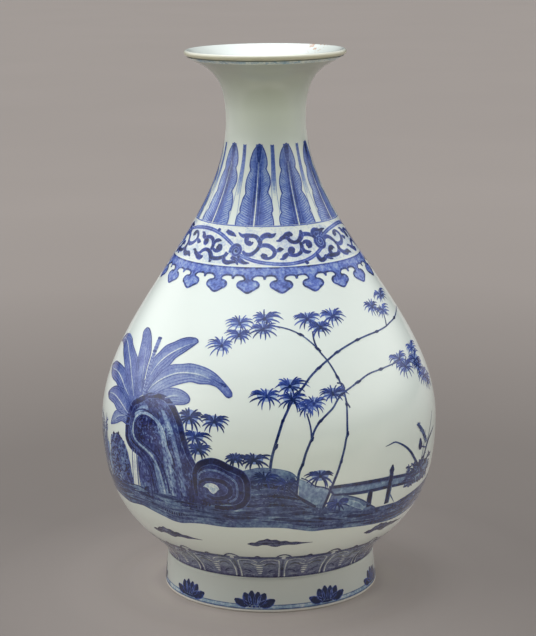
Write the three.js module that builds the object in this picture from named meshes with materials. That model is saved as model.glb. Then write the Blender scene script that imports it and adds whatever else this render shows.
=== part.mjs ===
// A pear-shaped porcelain vase with a trumpet mouth, the form called yuhuchunping.
// The body is thrown in sections, and the sections are joined with slip:
// a foot ring, a lower body with the base, an upper body and a flared neck.
// Every section is a ring or a bowl turned about the Z axis, and stands on the one below.
// The outline is three Bezier curves: foot to belly, belly to waist, waist to lip.
import * as THREE from 'three';

// Heights of the outline's stretches, from the floor up
const footHeight = 18;
const bellyRise = 73;
const shoulderRise = 158;
const mouthRise = 36;

// Outer radii where the stretches meet
const footRadius = 57;
const footTopRadius = 55.4;
const bellyRadius = 88.9;
const waistRadius = 20.8;
const lipRadius = 42;

// How far each curve follows the outline's direction at its ends
const footFlareReach = 14;
const bellyFullnessBelow = 57;
const bellyFullnessAbove = 55;
const waistReachBelow = 55;
const waistReachAbove = 28;
const lipReach = 11;

// Directions of the outline above the foot and at the lip, in degrees above the horizontal
const footFlareAngle = 84;
const lipAngle = 39;

// Walls
const bodyWall = 4;
const neckWall = 3.2;
const lipThickness = 2.8;
const baseThickness = 6;
const floorFillet = 9;
const footWallAtTop = 6;
const footWallAtRim = 5;
const rimChamfer = 0.8;

// The neck is joined on below its waist, and a joint of slip shows as a bead inside
const neckJointBelowWaist = 35;
const slipThickness = 0.8;
const slipBead = 0.7;

// Facets round the axis, and along each stretch of the outline
const turns = 64;
const bodySteps = 12;
const neckSteps = 6;
const mouthSteps = 9;
const filletSteps = 3;
const lipSteps = 4;

const bellyHeight = footHeight + bellyRise;
const waistHeight = bellyHeight + shoulderRise;
const mouthHeight = waistHeight + mouthRise;
const neckJointHeight = waistHeight - neckJointBelowWaist;
const floorHeight = footHeight + baseThickness;

const point = (radius, height) => new THREE.Vector2(radius, height);
const direction = (degrees) => {
  const angle = THREE.MathUtils.degToRad(degrees);
  return point(Math.cos(angle), Math.sin(angle));
};

// The lip is a half round between the outer and the inner face of the mouth
const lipRound = lipThickness / 2;
const lipCentre = point(lipRadius - lipRound, mouthHeight - lipRound);
const lipTangent = direction(lipAngle);
const lipOutward = direction(lipAngle - 90);
const lipEnd = lipCentre.clone().addScaledVector(lipOutward, lipRound);

const lowerCurve = new THREE.CubicBezierCurve(
  point(footTopRadius, footHeight),
  point(footTopRadius, footHeight).addScaledVector(direction(footFlareAngle), footFlareReach),
  point(bellyRadius, bellyHeight - bellyFullnessBelow),
  point(bellyRadius, bellyHeight),
);
const upperCurve = new THREE.CubicBezierCurve(
  point(bellyRadius, bellyHeight),
  point(bellyRadius, bellyHeight + bellyFullnessAbove),
  point(waistRadius, waistHeight - waistReachBelow),
  point(waistRadius, waistHeight),
);
const mouthCurve = new THREE.CubicBezierCurve(
  point(waistRadius, waistHeight),
  point(waistRadius, waistHeight + waistReachAbove),
  lipEnd.clone().addScaledVector(lipTangent, -lipReach),
  lipEnd,
);

// The curve's place at a height, found by halving, because each curve only climbs
function placeAtHeight(curve, height) {
  let low = 0;
  let high = 1;
  for (let halving = 0; halving < 50; halving += 1) {
    const middle = (low + high) / 2;
    if (curve.getPoint(middle).y < height) low = middle;
    else high = middle;
  }
  return (low + high) / 2;
}

function outerPoint(curve, height) {
  return point(curve.getPoint(placeAtHeight(curve, height)).x, height);
}

// The wall thins from the belly to the waist, and from the waist to the lip
function wallAtHeight(height) {
  const { mapLinear, clamp } = THREE.MathUtils;
  const top = clamp(height, bellyHeight, waistHeight);
  return mapLinear(top, bellyHeight, waistHeight, bodyWall, neckWall);
}

// The inner face at a height lies one wall in, measured square to the outline
function innerPoint(curve, height) {
  const place = placeAtHeight(curve, height);
  const tangent = curve.getTangent(place);
  const radius = curve.getPoint(place).x - wallAtHeight(height) / tangent.y;
  return point(radius, height);
}

const stations = (from, to, steps) =>
  Array.from({ length: steps + 1 }, (_, step) => THREE.MathUtils.lerp(from, to, step / steps));

function turned(name, profile, material) {
  const closed = profile[0].x === 0 ? profile : [...profile, profile[0].clone()];
  const geometry = new THREE.LatheGeometry(closed, turns);
  geometry.rotateX(Math.PI / 2);
  const mesh = new THREE.Mesh(geometry, material);
  mesh.name = name;
  return mesh;
}

// Foot ring: a tapered wall with a flat rim that the vase stands on
function footRing(material) {
  const top = footHeight - slipThickness;
  return turned('foot_ring', [
    point(footRadius - footWallAtRim + rimChamfer, 0),
    point(footRadius - rimChamfer, 0),
    point(footRadius, rimChamfer),
    point(footTopRadius, top),
    point(footTopRadius - footWallAtTop, top),
    point(footRadius - footWallAtRim, rimChamfer),
  ], material);
}

// Lower body: the flat base, its rounded inner corner and the wall up to the belly
function lowerBody(material) {
  const top = bellyHeight - slipThickness;
  const cornerTop = innerPoint(lowerCurve, floorHeight + floorFillet);
  const corner = point(innerPoint(lowerCurve, floorHeight).x, floorHeight);
  const cornerFoot = point(corner.x - floorFillet, floorHeight);
  const fillet = new THREE.QuadraticBezierCurve(cornerTop, corner, cornerFoot);
  return turned('lower_body', [
    point(0, footHeight),
    ...stations(footHeight, top, bodySteps).map((height) => outerPoint(lowerCurve, height)),
    ...stations(top, cornerTop.y, bodySteps).slice(0, -1)
      .map((height) => innerPoint(lowerCurve, height)),
    ...fillet.getPoints(filletSteps),
    point(0, floorHeight),
  ], material);
}

// Upper body: the shoulder, drawn in from the belly to the neck's joint
function upperBody(material) {
  const top = neckJointHeight - slipThickness;
  return turned('upper_body', [
    ...stations(bellyHeight, top, bodySteps).map((height) => outerPoint(upperCurve, height)),
    ...stations(top, bellyHeight, bodySteps).map((height) => innerPoint(upperCurve, height)),
  ], material);
}

// Neck: the stretch below the waist, the trumpet mouth and its rounded lip
function neck(material) {
  const heights = stations(neckJointHeight, waistHeight, neckSteps);
  const outer = heights.map((height) => outerPoint(upperCurve, height));
  const inner = heights.map((height) => innerPoint(upperCurve, height)).reverse();
  const places = stations(0, 1, mouthSteps).slice(1);
  const mouthOuter = places.map((place) => mouthCurve.getPoint(place));
  const mouthInner = places.map((place) => {
    const tangent = mouthCurve.getTangent(place);
    const wall = THREE.MathUtils.lerp(neckWall, lipThickness, place);
    return mouthCurve.getPoint(place).add(point(-tangent.y, tangent.x).multiplyScalar(wall));
  }).reverse();
  const lip = stations(lipAngle - 90, lipAngle + 90, lipSteps).slice(1, -1)
    .map((degrees) => lipCentre.clone().addScaledVector(direction(degrees), lipRound));
  return turned('neck', [...outer, ...mouthOuter, ...lip, ...mouthInner, ...inner], material);
}

// A joint of slip: a thin ring between two sections, flush outside, with a bead inside
function slipRing(name, outerBelow, outerAbove, innerBelow, innerAbove, material) {
  const bead = (innerBelow.x + innerAbove.x) / 2 - slipBead;
  return turned(name, [
    outerBelow,
    outerAbove,
    innerAbove,
    point(bead, (innerBelow.y + innerAbove.y) / 2),
    innerBelow,
  ], material);
}

const glaze = new THREE.MeshStandardMaterial({ color: 0xdfe4e0, roughness: 0.12, metalness: 0 });
const blueGlaze = new THREE.MeshStandardMaterial({ color: 0x6f7aa8, roughness: 0.12, metalness: 0 });
const bareSlip = new THREE.MeshStandardMaterial({ color: 0xd8d2c4, roughness: 0.7, metalness: 0 });

const vase = new THREE.Group();
const footJoint = footHeight - slipThickness;
const bellyJoint = bellyHeight - slipThickness;
const neckJoint = neckJointHeight - slipThickness;
vase.add(
  footRing(glaze.clone()),
  slipRing(
    'foot_slip',
    point(footTopRadius, footJoint),
    point(footTopRadius, footHeight),
    point(footTopRadius - footWallAtTop, footJoint),
    point(footTopRadius - footWallAtTop, footHeight),
    bareSlip.clone(),
  ),
  lowerBody(blueGlaze.clone()),
  slipRing(
    'belly_slip',
    outerPoint(lowerCurve, bellyJoint),
    outerPoint(upperCurve, bellyHeight),
    innerPoint(lowerCurve, bellyJoint),
    innerPoint(upperCurve, bellyHeight),
    bareSlip.clone(),
  ),
  upperBody(blueGlaze.clone()),
  slipRing(
    'neck_slip',
    outerPoint(upperCurve, neckJoint),
    outerPoint(upperCurve, neckJointHeight),
    innerPoint(upperCurve, neckJoint),
    innerPoint(upperCurve, neckJointHeight),
    bareSlip.clone(),
  ),
  neck(glaze.clone()),
);

export default vase;
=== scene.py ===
"""A blue-and-white porcelain vase of the pear-shaped form, dressed for rendering.

The vase is a surface of revolution. Its underglaze drawing is laid on the glaze as thin
painted strokes: every stroke is a grid of points given as an angle round the vase, in degrees
from the front and growing to the right, and a height in millimetres above the foot.
"""

import bmesh
import bpy
import numpy as np
from mathutils import Matrix, Vector


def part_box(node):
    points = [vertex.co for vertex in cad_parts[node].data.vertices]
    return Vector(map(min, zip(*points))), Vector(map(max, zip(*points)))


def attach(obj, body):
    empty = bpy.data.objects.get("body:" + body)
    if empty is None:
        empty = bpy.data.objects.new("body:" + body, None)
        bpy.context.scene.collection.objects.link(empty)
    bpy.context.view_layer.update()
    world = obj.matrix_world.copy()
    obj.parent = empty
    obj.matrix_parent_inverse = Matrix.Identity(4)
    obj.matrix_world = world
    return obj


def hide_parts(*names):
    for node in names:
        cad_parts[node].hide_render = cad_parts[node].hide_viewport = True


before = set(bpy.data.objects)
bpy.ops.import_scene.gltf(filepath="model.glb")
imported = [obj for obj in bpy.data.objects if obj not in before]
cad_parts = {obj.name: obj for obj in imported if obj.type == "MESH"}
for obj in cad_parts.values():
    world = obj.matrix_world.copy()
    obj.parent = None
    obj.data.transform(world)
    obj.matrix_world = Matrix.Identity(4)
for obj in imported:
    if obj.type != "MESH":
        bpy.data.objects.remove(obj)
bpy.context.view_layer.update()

MM = 0.001
WHOLE_TURN = 360.0
HALF_TURN = 180.0

# The outline, in millimetres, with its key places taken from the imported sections
foot_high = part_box("foot_ring")[1]
slip_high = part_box("foot_slip")[1]
body_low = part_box("lower_body")[0]
neck_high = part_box("neck")[1]
joint_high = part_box("belly_slip")[1]

FOOT_RADIUS = foot_high.x / MM
FOOT_TOP_RADIUS = slip_high.x / MM
FOOT_HEIGHT = body_low.z / MM
BELLY_RADIUS = joint_high.x / MM
BELLY_HEIGHT = joint_high.z / MM
LIP_RADIUS = neck_high.x / MM
MOUTH_HEIGHT = round(neck_high.z / MM, 1)
WAIST_RADIUS = 20.8
WAIST_DEPTH = 36.0
WAIST_HEIGHT = MOUTH_HEIGHT - WAIST_DEPTH

FOOT_FLARE_REACH = 14.0
FOOT_FLARE_ANGLE = 84.0
BELLY_FULLNESS_BELOW = 57.0
BELLY_FULLNESS_ABOVE = 55.0
WAIST_REACH_BELOW = 55.0
WAIST_REACH_ABOVE = 28.0
LIP_REACH = 11.0
LIP_ANGLE = 39.0
LIP_THICKNESS = 2.8
BODY_WALL = 4.0
NECK_WALL = 3.2
BASE_THICKNESS = 6.0
FLOOR_FILLET = 9.0
FOOT_WALL_TOP = 6.0
FOOT_WALL_RIM = 5.0
BARE_RIM_HEIGHT = 1.4
RIM_ROUND = 0.8


def towards(degrees):
    """The unit vector at an angle above the horizontal, as radius and height."""
    angle = np.radians(degrees)
    return np.array([np.cos(angle), np.sin(angle)])


def bezier(start, leave, arrive, end, count):
    """A cubic Bezier curve from its four points, sampled evenly in its parameter."""
    t = np.linspace(0, 1, count)[:, None]
    s = 1 - t
    return (s**3 * np.array(start) + 3 * s**2 * t * np.array(leave)
            + 3 * s * t**2 * np.array(arrive) + t**3 * np.array(end))


LIP_ROUND = LIP_THICKNESS / 2
LIP_CENTRE = np.array([LIP_RADIUS - LIP_ROUND, MOUTH_HEIGHT - LIP_ROUND])
LIP_END = LIP_CENTRE + LIP_ROUND * towards(LIP_ANGLE - 90)


def outer_outline(count):
    """Foot to belly, belly to waist and waist to lip, as one run of radius and height."""
    flare = np.array([FOOT_TOP_RADIUS, FOOT_HEIGHT]) + FOOT_FLARE_REACH * towards(FOOT_FLARE_ANGLE)
    lower = bezier((FOOT_TOP_RADIUS, FOOT_HEIGHT), flare,
                   (BELLY_RADIUS, BELLY_HEIGHT - BELLY_FULLNESS_BELOW),
                   (BELLY_RADIUS, BELLY_HEIGHT), count)
    upper = bezier((BELLY_RADIUS, BELLY_HEIGHT), (BELLY_RADIUS, BELLY_HEIGHT + BELLY_FULLNESS_ABOVE),
                   (WAIST_RADIUS, WAIST_HEIGHT - WAIST_REACH_BELOW),
                   (WAIST_RADIUS, WAIST_HEIGHT), count)
    mouth = bezier((WAIST_RADIUS, WAIST_HEIGHT), (WAIST_RADIUS, WAIST_HEIGHT + WAIST_REACH_ABOVE),
                   LIP_END - LIP_REACH * towards(LIP_ANGLE), LIP_END, count)
    return np.vstack([lower, upper[1:], mouth[1:]])


FOOT_LINE = np.array([[FOOT_RADIUS, RIM_ROUND], [FOOT_TOP_RADIUS, FOOT_HEIGHT]])
FINE_OUTLINE = np.vstack([FOOT_LINE[:1], outer_outline(900)])
FINE_SLOPE = np.gradient(FINE_OUTLINE[:, 0], FINE_OUTLINE[:, 1])


def radius_at(height):
    """The glazed outside's radius at a height, read off the outline."""
    return np.interp(height, FINE_OUTLINE[:, 1], FINE_OUTLINE[:, 0])


def slope_at(height):
    """How fast the radius grows with height."""
    return np.interp(height, FINE_OUTLINE[:, 1], FINE_SLOPE)


def on_surface(angle, height, lift):
    """Points at an angle and a height, raised by lift along the outward normal, with that normal."""
    turn = np.radians(angle)
    slope = slope_at(height)
    length = np.sqrt(1 + slope**2)
    radius = radius_at(height) + lift / length
    level = height - lift * slope / length
    points = np.stack([radius * np.sin(turn), -radius * np.cos(turn), level], -1)
    normals = np.stack([np.sin(turn) / length, -np.cos(turn) / length, -slope / length], -1)
    return points * MM, normals


def make_mesh(name, points, faces, normals, material, attributes=(), uv=None):
    """A mesh object from whole arrays: points, four-cornered or three-cornered faces, and normals."""
    mesh = bpy.data.meshes.new(name)
    corners = faces.shape[1]
    mesh.vertices.add(len(points))
    mesh.vertices.foreach_set("co", np.ascontiguousarray(points, np.float32).ravel())
    mesh.loops.add(faces.size)
    mesh.loops.foreach_set("vertex_index", np.ascontiguousarray(faces, np.int32).ravel())
    mesh.polygons.add(len(faces))
    mesh.polygons.foreach_set("loop_start", np.arange(len(faces), dtype=np.int32) * corners)
    mesh.polygons.foreach_set("use_smooth", np.ones(len(faces), bool))
    mesh.update(calc_edges=True)
    for label, values in attributes:
        mesh.attributes.new(label, "FLOAT", "POINT").data.foreach_set(
            "value", np.ascontiguousarray(values, np.float32).ravel())
    if uv is not None:
        layer = mesh.uv_layers.new(name="OFBake")
        layer.uv.foreach_set("vector", np.ascontiguousarray(uv[faces.ravel()], np.float32).ravel())
    mesh.validate()
    if normals is not None:
        mesh.normals_split_custom_set_from_vertices(normals)
    mesh.materials.append(material)
    thing = bpy.data.objects.new(name, mesh)
    bpy.context.collection.objects.link(thing)
    return thing


def grid_faces(rows, columns, closed_across=False):
    """Four-cornered faces between neighbouring points of a grid, turning anticlockwise."""
    row = np.arange(rows - 1)[:, None]
    column = np.arange(columns if closed_across else columns - 1)[None, :]
    after = (column + 1) % columns
    faces = np.stack([row * columns + column, row * columns + after,
                      (row + 1) * columns + after, (row + 1) * columns + column], -1)
    return faces.reshape(-1, 4)


# Steps round the vase: with these the body stays under 200,000 triangles
TURNS = 216


def turned(name, profile, material, **tones):
    """A closed profile of radius and height turned about Z, as rings joined by faces.

    A profile point on the axis gives a ring of no size, which is merged into one point. Each of
    the tones holds one number for each profile point, and becomes an attribute of its name.
    """
    angle = np.arange(TURNS) * 2 * np.pi / TURNS
    radius, height = profile[:, 0, None], profile[:, 1, None]
    points = np.stack([radius * np.sin(angle), -radius * np.cos(angle),
                       np.broadcast_to(height, (len(profile), TURNS))], -1) * MM
    ring_closed = profile[0, 0] > 0
    rows = len(profile) + (1 if ring_closed else 0)
    faces = grid_faces(rows, TURNS, closed_across=True) % (len(profile) * TURNS)
    marks = [(tone, np.repeat(values, TURNS)) for tone, values in tones.items()]
    thing = make_mesh(name, points.reshape(-1, 3), faces, None, material, marks)
    if not ring_closed:
        weld_poles(thing)
    return thing


def weld_poles(thing):
    """Merges the points that lie together on the axis."""
    work = bmesh.new()
    work.from_mesh(thing.data)
    bmesh.ops.remove_doubles(work, verts=work.verts, dist=1e-7)
    work.to_mesh(thing.data)
    work.free()
    thing.data.polygons.foreach_set("use_smooth", np.ones(len(thing.data.polygons), bool))


def arc(centre, radius, start, end, count):
    """Points on a round, from one direction to another in degrees."""
    angle = np.radians(np.linspace(start, end, count))
    return np.array(centre) + radius * np.stack([np.cos(angle), np.sin(angle)], -1)


def inner_wall(outline, wall):
    """The outline moved in by the wall, square to it."""
    step = np.gradient(outline, axis=0)
    step /= np.linalg.norm(step, axis=1)[:, None]
    return outline + wall[:, None] * np.stack([-step[:, 1], step[:, 0]], -1)


# Colours are linear. An ink's colours run evenly from the bare glaze to its darkest.
BARE_GLAZE = (0.78, 0.825, 0.79)
INKS = {
    "underglaze_cobalt": (
        (0.45, 0.56, 0.71), (0.25, 0.345, 0.62), (0.098, 0.17, 0.535), (0.03, 0.062, 0.3),
        (0.007, 0.018, 0.076)),
    "underglaze_cobalt_slate": (
        (0.36, 0.49, 0.64), (0.155, 0.245, 0.45), (0.058, 0.092, 0.29), (0.016, 0.027, 0.148),
        (0.003, 0.005, 0.05)),
    "underglaze_cobalt_grey": (
        (0.34, 0.48, 0.61), (0.15, 0.238, 0.4), (0.056, 0.094, 0.242), (0.015, 0.031, 0.132),
        (0.003, 0.006, 0.046)),
    "underglaze_cobalt_muted": (
        (0.45, 0.55, 0.68), (0.25, 0.325, 0.54), (0.112, 0.165, 0.44), (0.033, 0.058, 0.255),
        (0.007, 0.014, 0.068)),
    "underglaze_cobalt_ashen": (
        (0.42, 0.47, 0.59), (0.218, 0.255, 0.4), (0.094, 0.11, 0.225), (0.032, 0.038, 0.112),
        (0.006, 0.007, 0.036)),
}
VIOLET = (1.22, 0.84, 1.04)
VIOLET_PATCHES = (0.44, 0.62)
SKIN_ROUGHNESS = (0.10, 0.19)
GLAZE_THICK = (0.726, 0.804, 0.774)
GLAZE_THIN = (0.797, 0.846, 0.806)
GLAZE_INDEX = 1.5
GLAZE_COAT = 0.3
GLAZE_COAT_ROUGHNESS = 0.04
# Painted shade: the colour that the glaze is darkened towards by its shade attribute
SHADE_TINT = (0.478, 0.500, 0.462)
# The lip's ivory glaze, made darker than the ivory itself, so that it is partly painted shade on the lip's
# bead
LIP_CREAM_AND_SHADE_TINT = (0.66, 0.625, 0.49)
LIP_BROWN = (0.46, 0.32, 0.24)
WORN_PLACE = (0.030, 0.0275, 0.2845)
WORN_REACH = 0.011
WORN_SPECKS = (0.54, 0.6)
BISCUIT_WARM = (0.66, 0.60, 0.52)
BISCUIT_PALE = (0.78, 0.78, 0.74)
BISCUIT_GRAIN_DEPTH = 0.00005
BISCUIT_ROUGHNESS = 0.75


def feed(tree, socket, source):
    """Gives a socket a number or colour, or links an output to it."""
    if isinstance(source, bpy.types.NodeSocket):
        tree.links.new(source, socket)
    else:
        socket.default_value = source


def new_node(tree, kind, x, y, inputs=(), **settings):
    """A node of a kind at a place, with its settings, and its inputs fed by name or number."""
    node = tree.nodes.new(kind)
    node.location = (x, y)
    for key, value in settings.items():
        setattr(node, key, value)
    for label, source in dict(inputs).items():
        feed(tree, node.inputs[label], source)
    return node


def new_group(name, inputs, outputs):
    """An empty shader node group: number inputs by name and value, outputs by name and kind."""
    tree = bpy.data.node_groups.new(name, "ShaderNodeTree")
    for label, value in inputs.items():
        socket = tree.interface.new_socket(label, in_out="INPUT", socket_type="NodeSocketFloat")
        socket.default_value = value
    for label, kind in outputs.items():
        tree.interface.new_socket(label, in_out="OUTPUT", socket_type="NodeSocket" + kind)
    return tree, new_node(tree, "NodeGroupInput", -900, 0), new_node(tree, "NodeGroupOutput", 700, 0)


def math_node(tree, operation, x, y, a, b=None, clamp=False):
    """A Math node fed by two sockets or numbers; gives its output."""
    sources = {0: a} if b is None else {0: a, 1: b}
    return new_node(tree, "ShaderNodeMath", x, y, sources, operation=operation, use_clamp=clamp).outputs[0]


def vector_node(tree, operation, x, y, a, b=None):
    """A Vector Math node fed by sockets, vectors or a scale; gives the output that it fills."""
    node = new_node(tree, "ShaderNodeVectorMath", x, y, {0: a}, operation=operation)
    if b is not None:
        feed(tree, node.inputs["Scale" if operation == "SCALE" else 1], b)
    return node.outputs["Value" if operation in ("DOT_PRODUCT", "DISTANCE", "LENGTH") else "Vector"]


def noise_node(tree, x, y, coordinates, scale, detail=2.0, roughness=0.5):
    """Noise on Object coordinates, which are metres, so a scale of 1000 has grains of a millimetre."""
    return new_node(tree, "ShaderNodeTexNoise", x, y, {
        "Vector": coordinates, "Scale": scale, "Detail": detail, "Roughness": roughness}).outputs["Fac"]


def range_node(tree, x, y, value, low, high, to_low=0.0, to_high=1.0, kind="LINEAR"):
    """A value carried from one range to another; gives the result."""
    return new_node(tree, "ShaderNodeMapRange", x, y, {
        "Value": value, "From Min": low, "From Max": high, "To Min": to_low, "To Max": to_high,
    }, interpolation_type=kind).outputs["Result"]


def mix_node(tree, x, y, factor, a, b, blend="MIX"):
    """A colour mixed from two colours by a factor; gives the result."""
    return new_node(tree, "ShaderNodeMix", x, y, {"Factor": factor, "A": a, "B": b},
                    data_type="RGBA", blend_type=blend).outputs["Result"]


def colour_ramp(tree, x, y, stops, factor):
    """A ramp through the stops, each a place from 0 to 1 and a colour, or one number for a grey."""
    ramp = new_node(tree, "ShaderNodeValToRGB", x, y, {"Fac": factor})
    elements = ramp.color_ramp.elements
    while len(elements) < len(stops):
        elements.new(0.5)
    for element, (place, colour) in zip(elements, stops):
        element.position = place
        element.color = (*(np.ones(3) * colour), 1)
    return ramp.outputs["Color"]


def glaze_surface_group():
    """The glaze's own skin: slow waves from the wheel, fine orange peel and a breath of tint."""
    tree, given, out = new_group("glaze_skin", {"Wave Height": 0.00012, "Peel Height": 0.0000035},
                                 {"Normal": "Vector", "Roughness": "Float", "Tint": "Float"})
    place = new_node(tree, "ShaderNodeTexCoord", -900, -300).outputs["Object"]
    waves = noise_node(tree, -600, 200, place, 55.0, 1.0)
    peel = noise_node(tree, -600, 0, place, 900.0, 1.0)
    slow = noise_node(tree, -600, -250, place, 16.0, 3.0)
    raised = math_node(tree, "MULTIPLY", -380, 200, waves, given.outputs["Wave Height"])
    fine = math_node(tree, "MULTIPLY", -380, 0, peel, given.outputs["Peel Height"])
    both = math_node(tree, "ADD", -180, 100, raised, fine)
    bump = new_node(tree, "ShaderNodeBump", 100, 100, {"Height": both, "Strength": 1.0, "Distance": 1.0})
    rough = range_node(tree, 100, -150, slow, 0.0, 1.0, *SKIN_ROUGHNESS)
    for label, source in (("Normal", bump.outputs["Normal"]), ("Roughness", rough), ("Tint", slow)):
        tree.links.new(source, out.inputs[label])
    return tree


def ink_group(name):
    """Cobalt under glaze: the stroke's own ink, mottled by grains and clouds, through the ink colours.

    The ink is clipped to 0 to 1 after twice the mottling times the grain plus the cloud less one.
    Slow patches of it are tinted violet, as cobalt with manganese is.
    """
    tree, given, out = new_group(name, {
        "Ink": 0.7, "Mottle": 0.25, "Grain Scale": 900.0, "Cloud Scale": 140.0, "Violet": 0.0,
    }, {"Colour": "Color"})
    place = new_node(tree, "ShaderNodeTexCoord", -900, -300).outputs["Object"]
    grain = noise_node(tree, -650, 0, place, given.outputs["Grain Scale"], 2.0, 0.6)
    cloud = noise_node(tree, -650, -250, place, given.outputs["Cloud Scale"], 2.0, 0.55)
    patches = noise_node(tree, -650, -500, place, 90.0, 3.0, 0.6)
    both = math_node(tree, "ADD", -430, -100, grain, cloud)
    swing = math_node(tree, "SUBTRACT", -260, -100, both, 1.0)
    spread = math_node(tree, "MULTIPLY", -100, -100, swing, given.outputs["Mottle"])
    doubled = math_node(tree, "MULTIPLY", 40, -100, spread, 2.0)
    ink = math_node(tree, "ADD", 180, 0, doubled, given.outputs["Ink"], clamp=True)
    colours = (BARE_GLAZE, *INKS[name])
    blue = colour_ramp(tree, 340, 0, list(zip(np.linspace(0, 1, len(colours)), colours)), ink)
    share = range_node(tree, -430, -500, patches, *VIOLET_PATCHES)
    share = math_node(tree, "MULTIPLY", -200, -500, share, given.outputs["Violet"])
    share = math_node(tree, "MULTIPLY", 340, -400, share, ink)
    tint = mix_node(tree, 520, -200, share, blue, (*VIOLET, 1), "MULTIPLY")
    tree.links.new(tint, out.inputs["Colour"])
    return tree


def use_group(tree, group, x, y, inputs=()):
    """A group placed in a material with its own values."""
    return new_node(tree, "ShaderNodeGroup", x, y, inputs, node_tree=group)


def bare_material(name):
    """A material with one Principled shader; gives the material, its tree and the shader."""
    material = bpy.data.materials.new(name)
    material.use_nodes = True
    return material, material.node_tree, material.node_tree.nodes["Principled BSDF"]


SKIN = glaze_surface_group()
COBALT, SLATE_COBALT, GREY_COBALT, TREE_COBALT, ASHEN_COBALT = (ink_group(name) for name in INKS)


def cover_with_glaze(tree, shader, colour):
    """Clear glaze over a colour: its skin's roughness and normal, its index and its sharp coat."""
    skin = use_group(tree, SKIN, -600, -100)
    for label, source in (("Base Color", colour), ("Roughness", skin.outputs["Roughness"]),
                          ("Normal", skin.outputs["Normal"]), ("IOR", GLAZE_INDEX),
                          ("Coat Weight", GLAZE_COAT), ("Coat Roughness", GLAZE_COAT_ROUGHNESS)):
        feed(tree, shader.inputs[label], source)


def glaze_material():
    """White porcelain under a clear glaze, faintly bluer and greener in slow patches.

    The attribute "cream" marks the thin ivory glaze round the mouth's edge, with a few brown specks where
    the edge is worn. It is laid on heavier and darker on the outer face of the lip's bead than on its top,
    which is partly painted shade. The attribute "shade" is painted shade: it darkens the glaze up the neck
    under the mouth, inside the mouth, on the foot ring and low on the lip's bead.
    """
    material, tree, shader = bare_material("clear_glaze")
    skin = use_group(tree, SKIN, -600, 300)
    place = new_node(tree, "ShaderNodeTexCoord", -1100, 400).outputs["Object"]
    cream = new_node(tree, "ShaderNodeAttribute", -400, 500, attribute_name="cream").outputs["Fac"]
    shade = new_node(tree, "ShaderNodeAttribute", -400, -150, attribute_name="shade").outputs["Fac"]
    tint = mix_node(tree, -300, 200, skin.outputs["Tint"], (*GLAZE_THICK, 1), (*GLAZE_THIN, 1))
    # Painted shade: the glaze is darkened towards the shade colour where the shade attribute marks it
    glaze_in_painted_shade = mix_node(tree, -200, 0, shade, tint, (*SHADE_TINT, 1))
    # The lip's ivory glaze, heavier and darker on the bead's outer face, partly as painted shade
    creamy = mix_node(tree, -100, 250, cream, glaze_in_painted_shade, (*LIP_CREAM_AND_SHADE_TINT, 1))
    speck = noise_node(tree, -900, 750, place, 330.0, 2.0, 0.6)
    brown = range_node(tree, -600, 800, speck, *WORN_SPECKS, kind="SMOOTHSTEP")
    apart = vector_node(tree, "DISTANCE", -900, 1000, place, WORN_PLACE)
    nearby = range_node(tree, -600, 1050, apart, WORN_REACH, WORN_REACH / 2, kind="SMOOTHSTEP")
    worn = math_node(tree, "MULTIPLY", -350, 700, brown, nearby)
    cover_with_glaze(tree, shader, mix_node(tree, 100, 350, worn, creamy, (*LIP_BROWN, 1)))
    return material


def ink_material(name, group, mottle, grain=900.0, cloud=140.0, violet=0.0):
    """A cobalt stroke: its ink attribute and mottling give the colour, and the glaze covers it."""
    material, tree, shader = bare_material(name)
    ink = new_node(tree, "ShaderNodeAttribute", -900, 250, attribute_name="ink").outputs["Fac"]
    colour = use_group(tree, group, -600, 250, {
        "Ink": ink, "Mottle": mottle, "Grain Scale": grain, "Cloud Scale": cloud, "Violet": violet})
    cover_with_glaze(tree, shader, colour.outputs["Colour"])
    return material


def biscuit_material():
    """Unglazed porcelain of the foot rim: matt, fine-grained, faintly orange in patches."""
    material, tree, shader = bare_material("bare_biscuit")
    place = new_node(tree, "ShaderNodeTexCoord", -900, 0).outputs["Object"]
    patches = noise_node(tree, -650, 150, place, 60.0, 3.0)
    grains = noise_node(tree, -650, -150, place, 2500.0, 2.0)
    tint = mix_node(tree, -300, 200, patches, (*BISCUIT_WARM, 1), (*BISCUIT_PALE, 1))
    bump = new_node(tree, "ShaderNodeBump", -300, -150, {"Height": grains, "Distance": BISCUIT_GRAIN_DEPTH})
    for label, source in (("Base Color", tint), ("Normal", bump.outputs["Normal"]),
                          ("Roughness", BISCUIT_ROUGHNESS)):
        feed(tree, shader.inputs[label], source)
    return material


clear_glaze = glaze_material()
bare_biscuit = biscuit_material()


# The vase itself

LIP_HOLLOW = 0.9
LIP_HOLLOW_DEPTH = 6.0
OUTLINE_STEPS = 70
# Painted shade and the lip's ivory glaze, at heights in millimetres or at angles round the lip:
# the shade darkens the glaze under the mouth, inside it, on the foot ring and low on the lip's bead,
# and the ivory, heavier and darker on the bead's outer face than on its top, is partly painted shade
OUTSIDE_SHADE = ((254, 275, 281), (0, 0.9, 1.0))
INSIDE_SHADE = ((264, 280), (0.3, 0.6))
LIP_SHADE = ((-60, 10, 50, 110), (0.9, 0.6, 0.1, 0.5))
LIP_CREAM_AND_SHADE = ((-60, 10, 60, 100), (0.95, 0.9, 0.5, 0))
FOOT_SHADE = 0.45


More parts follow.
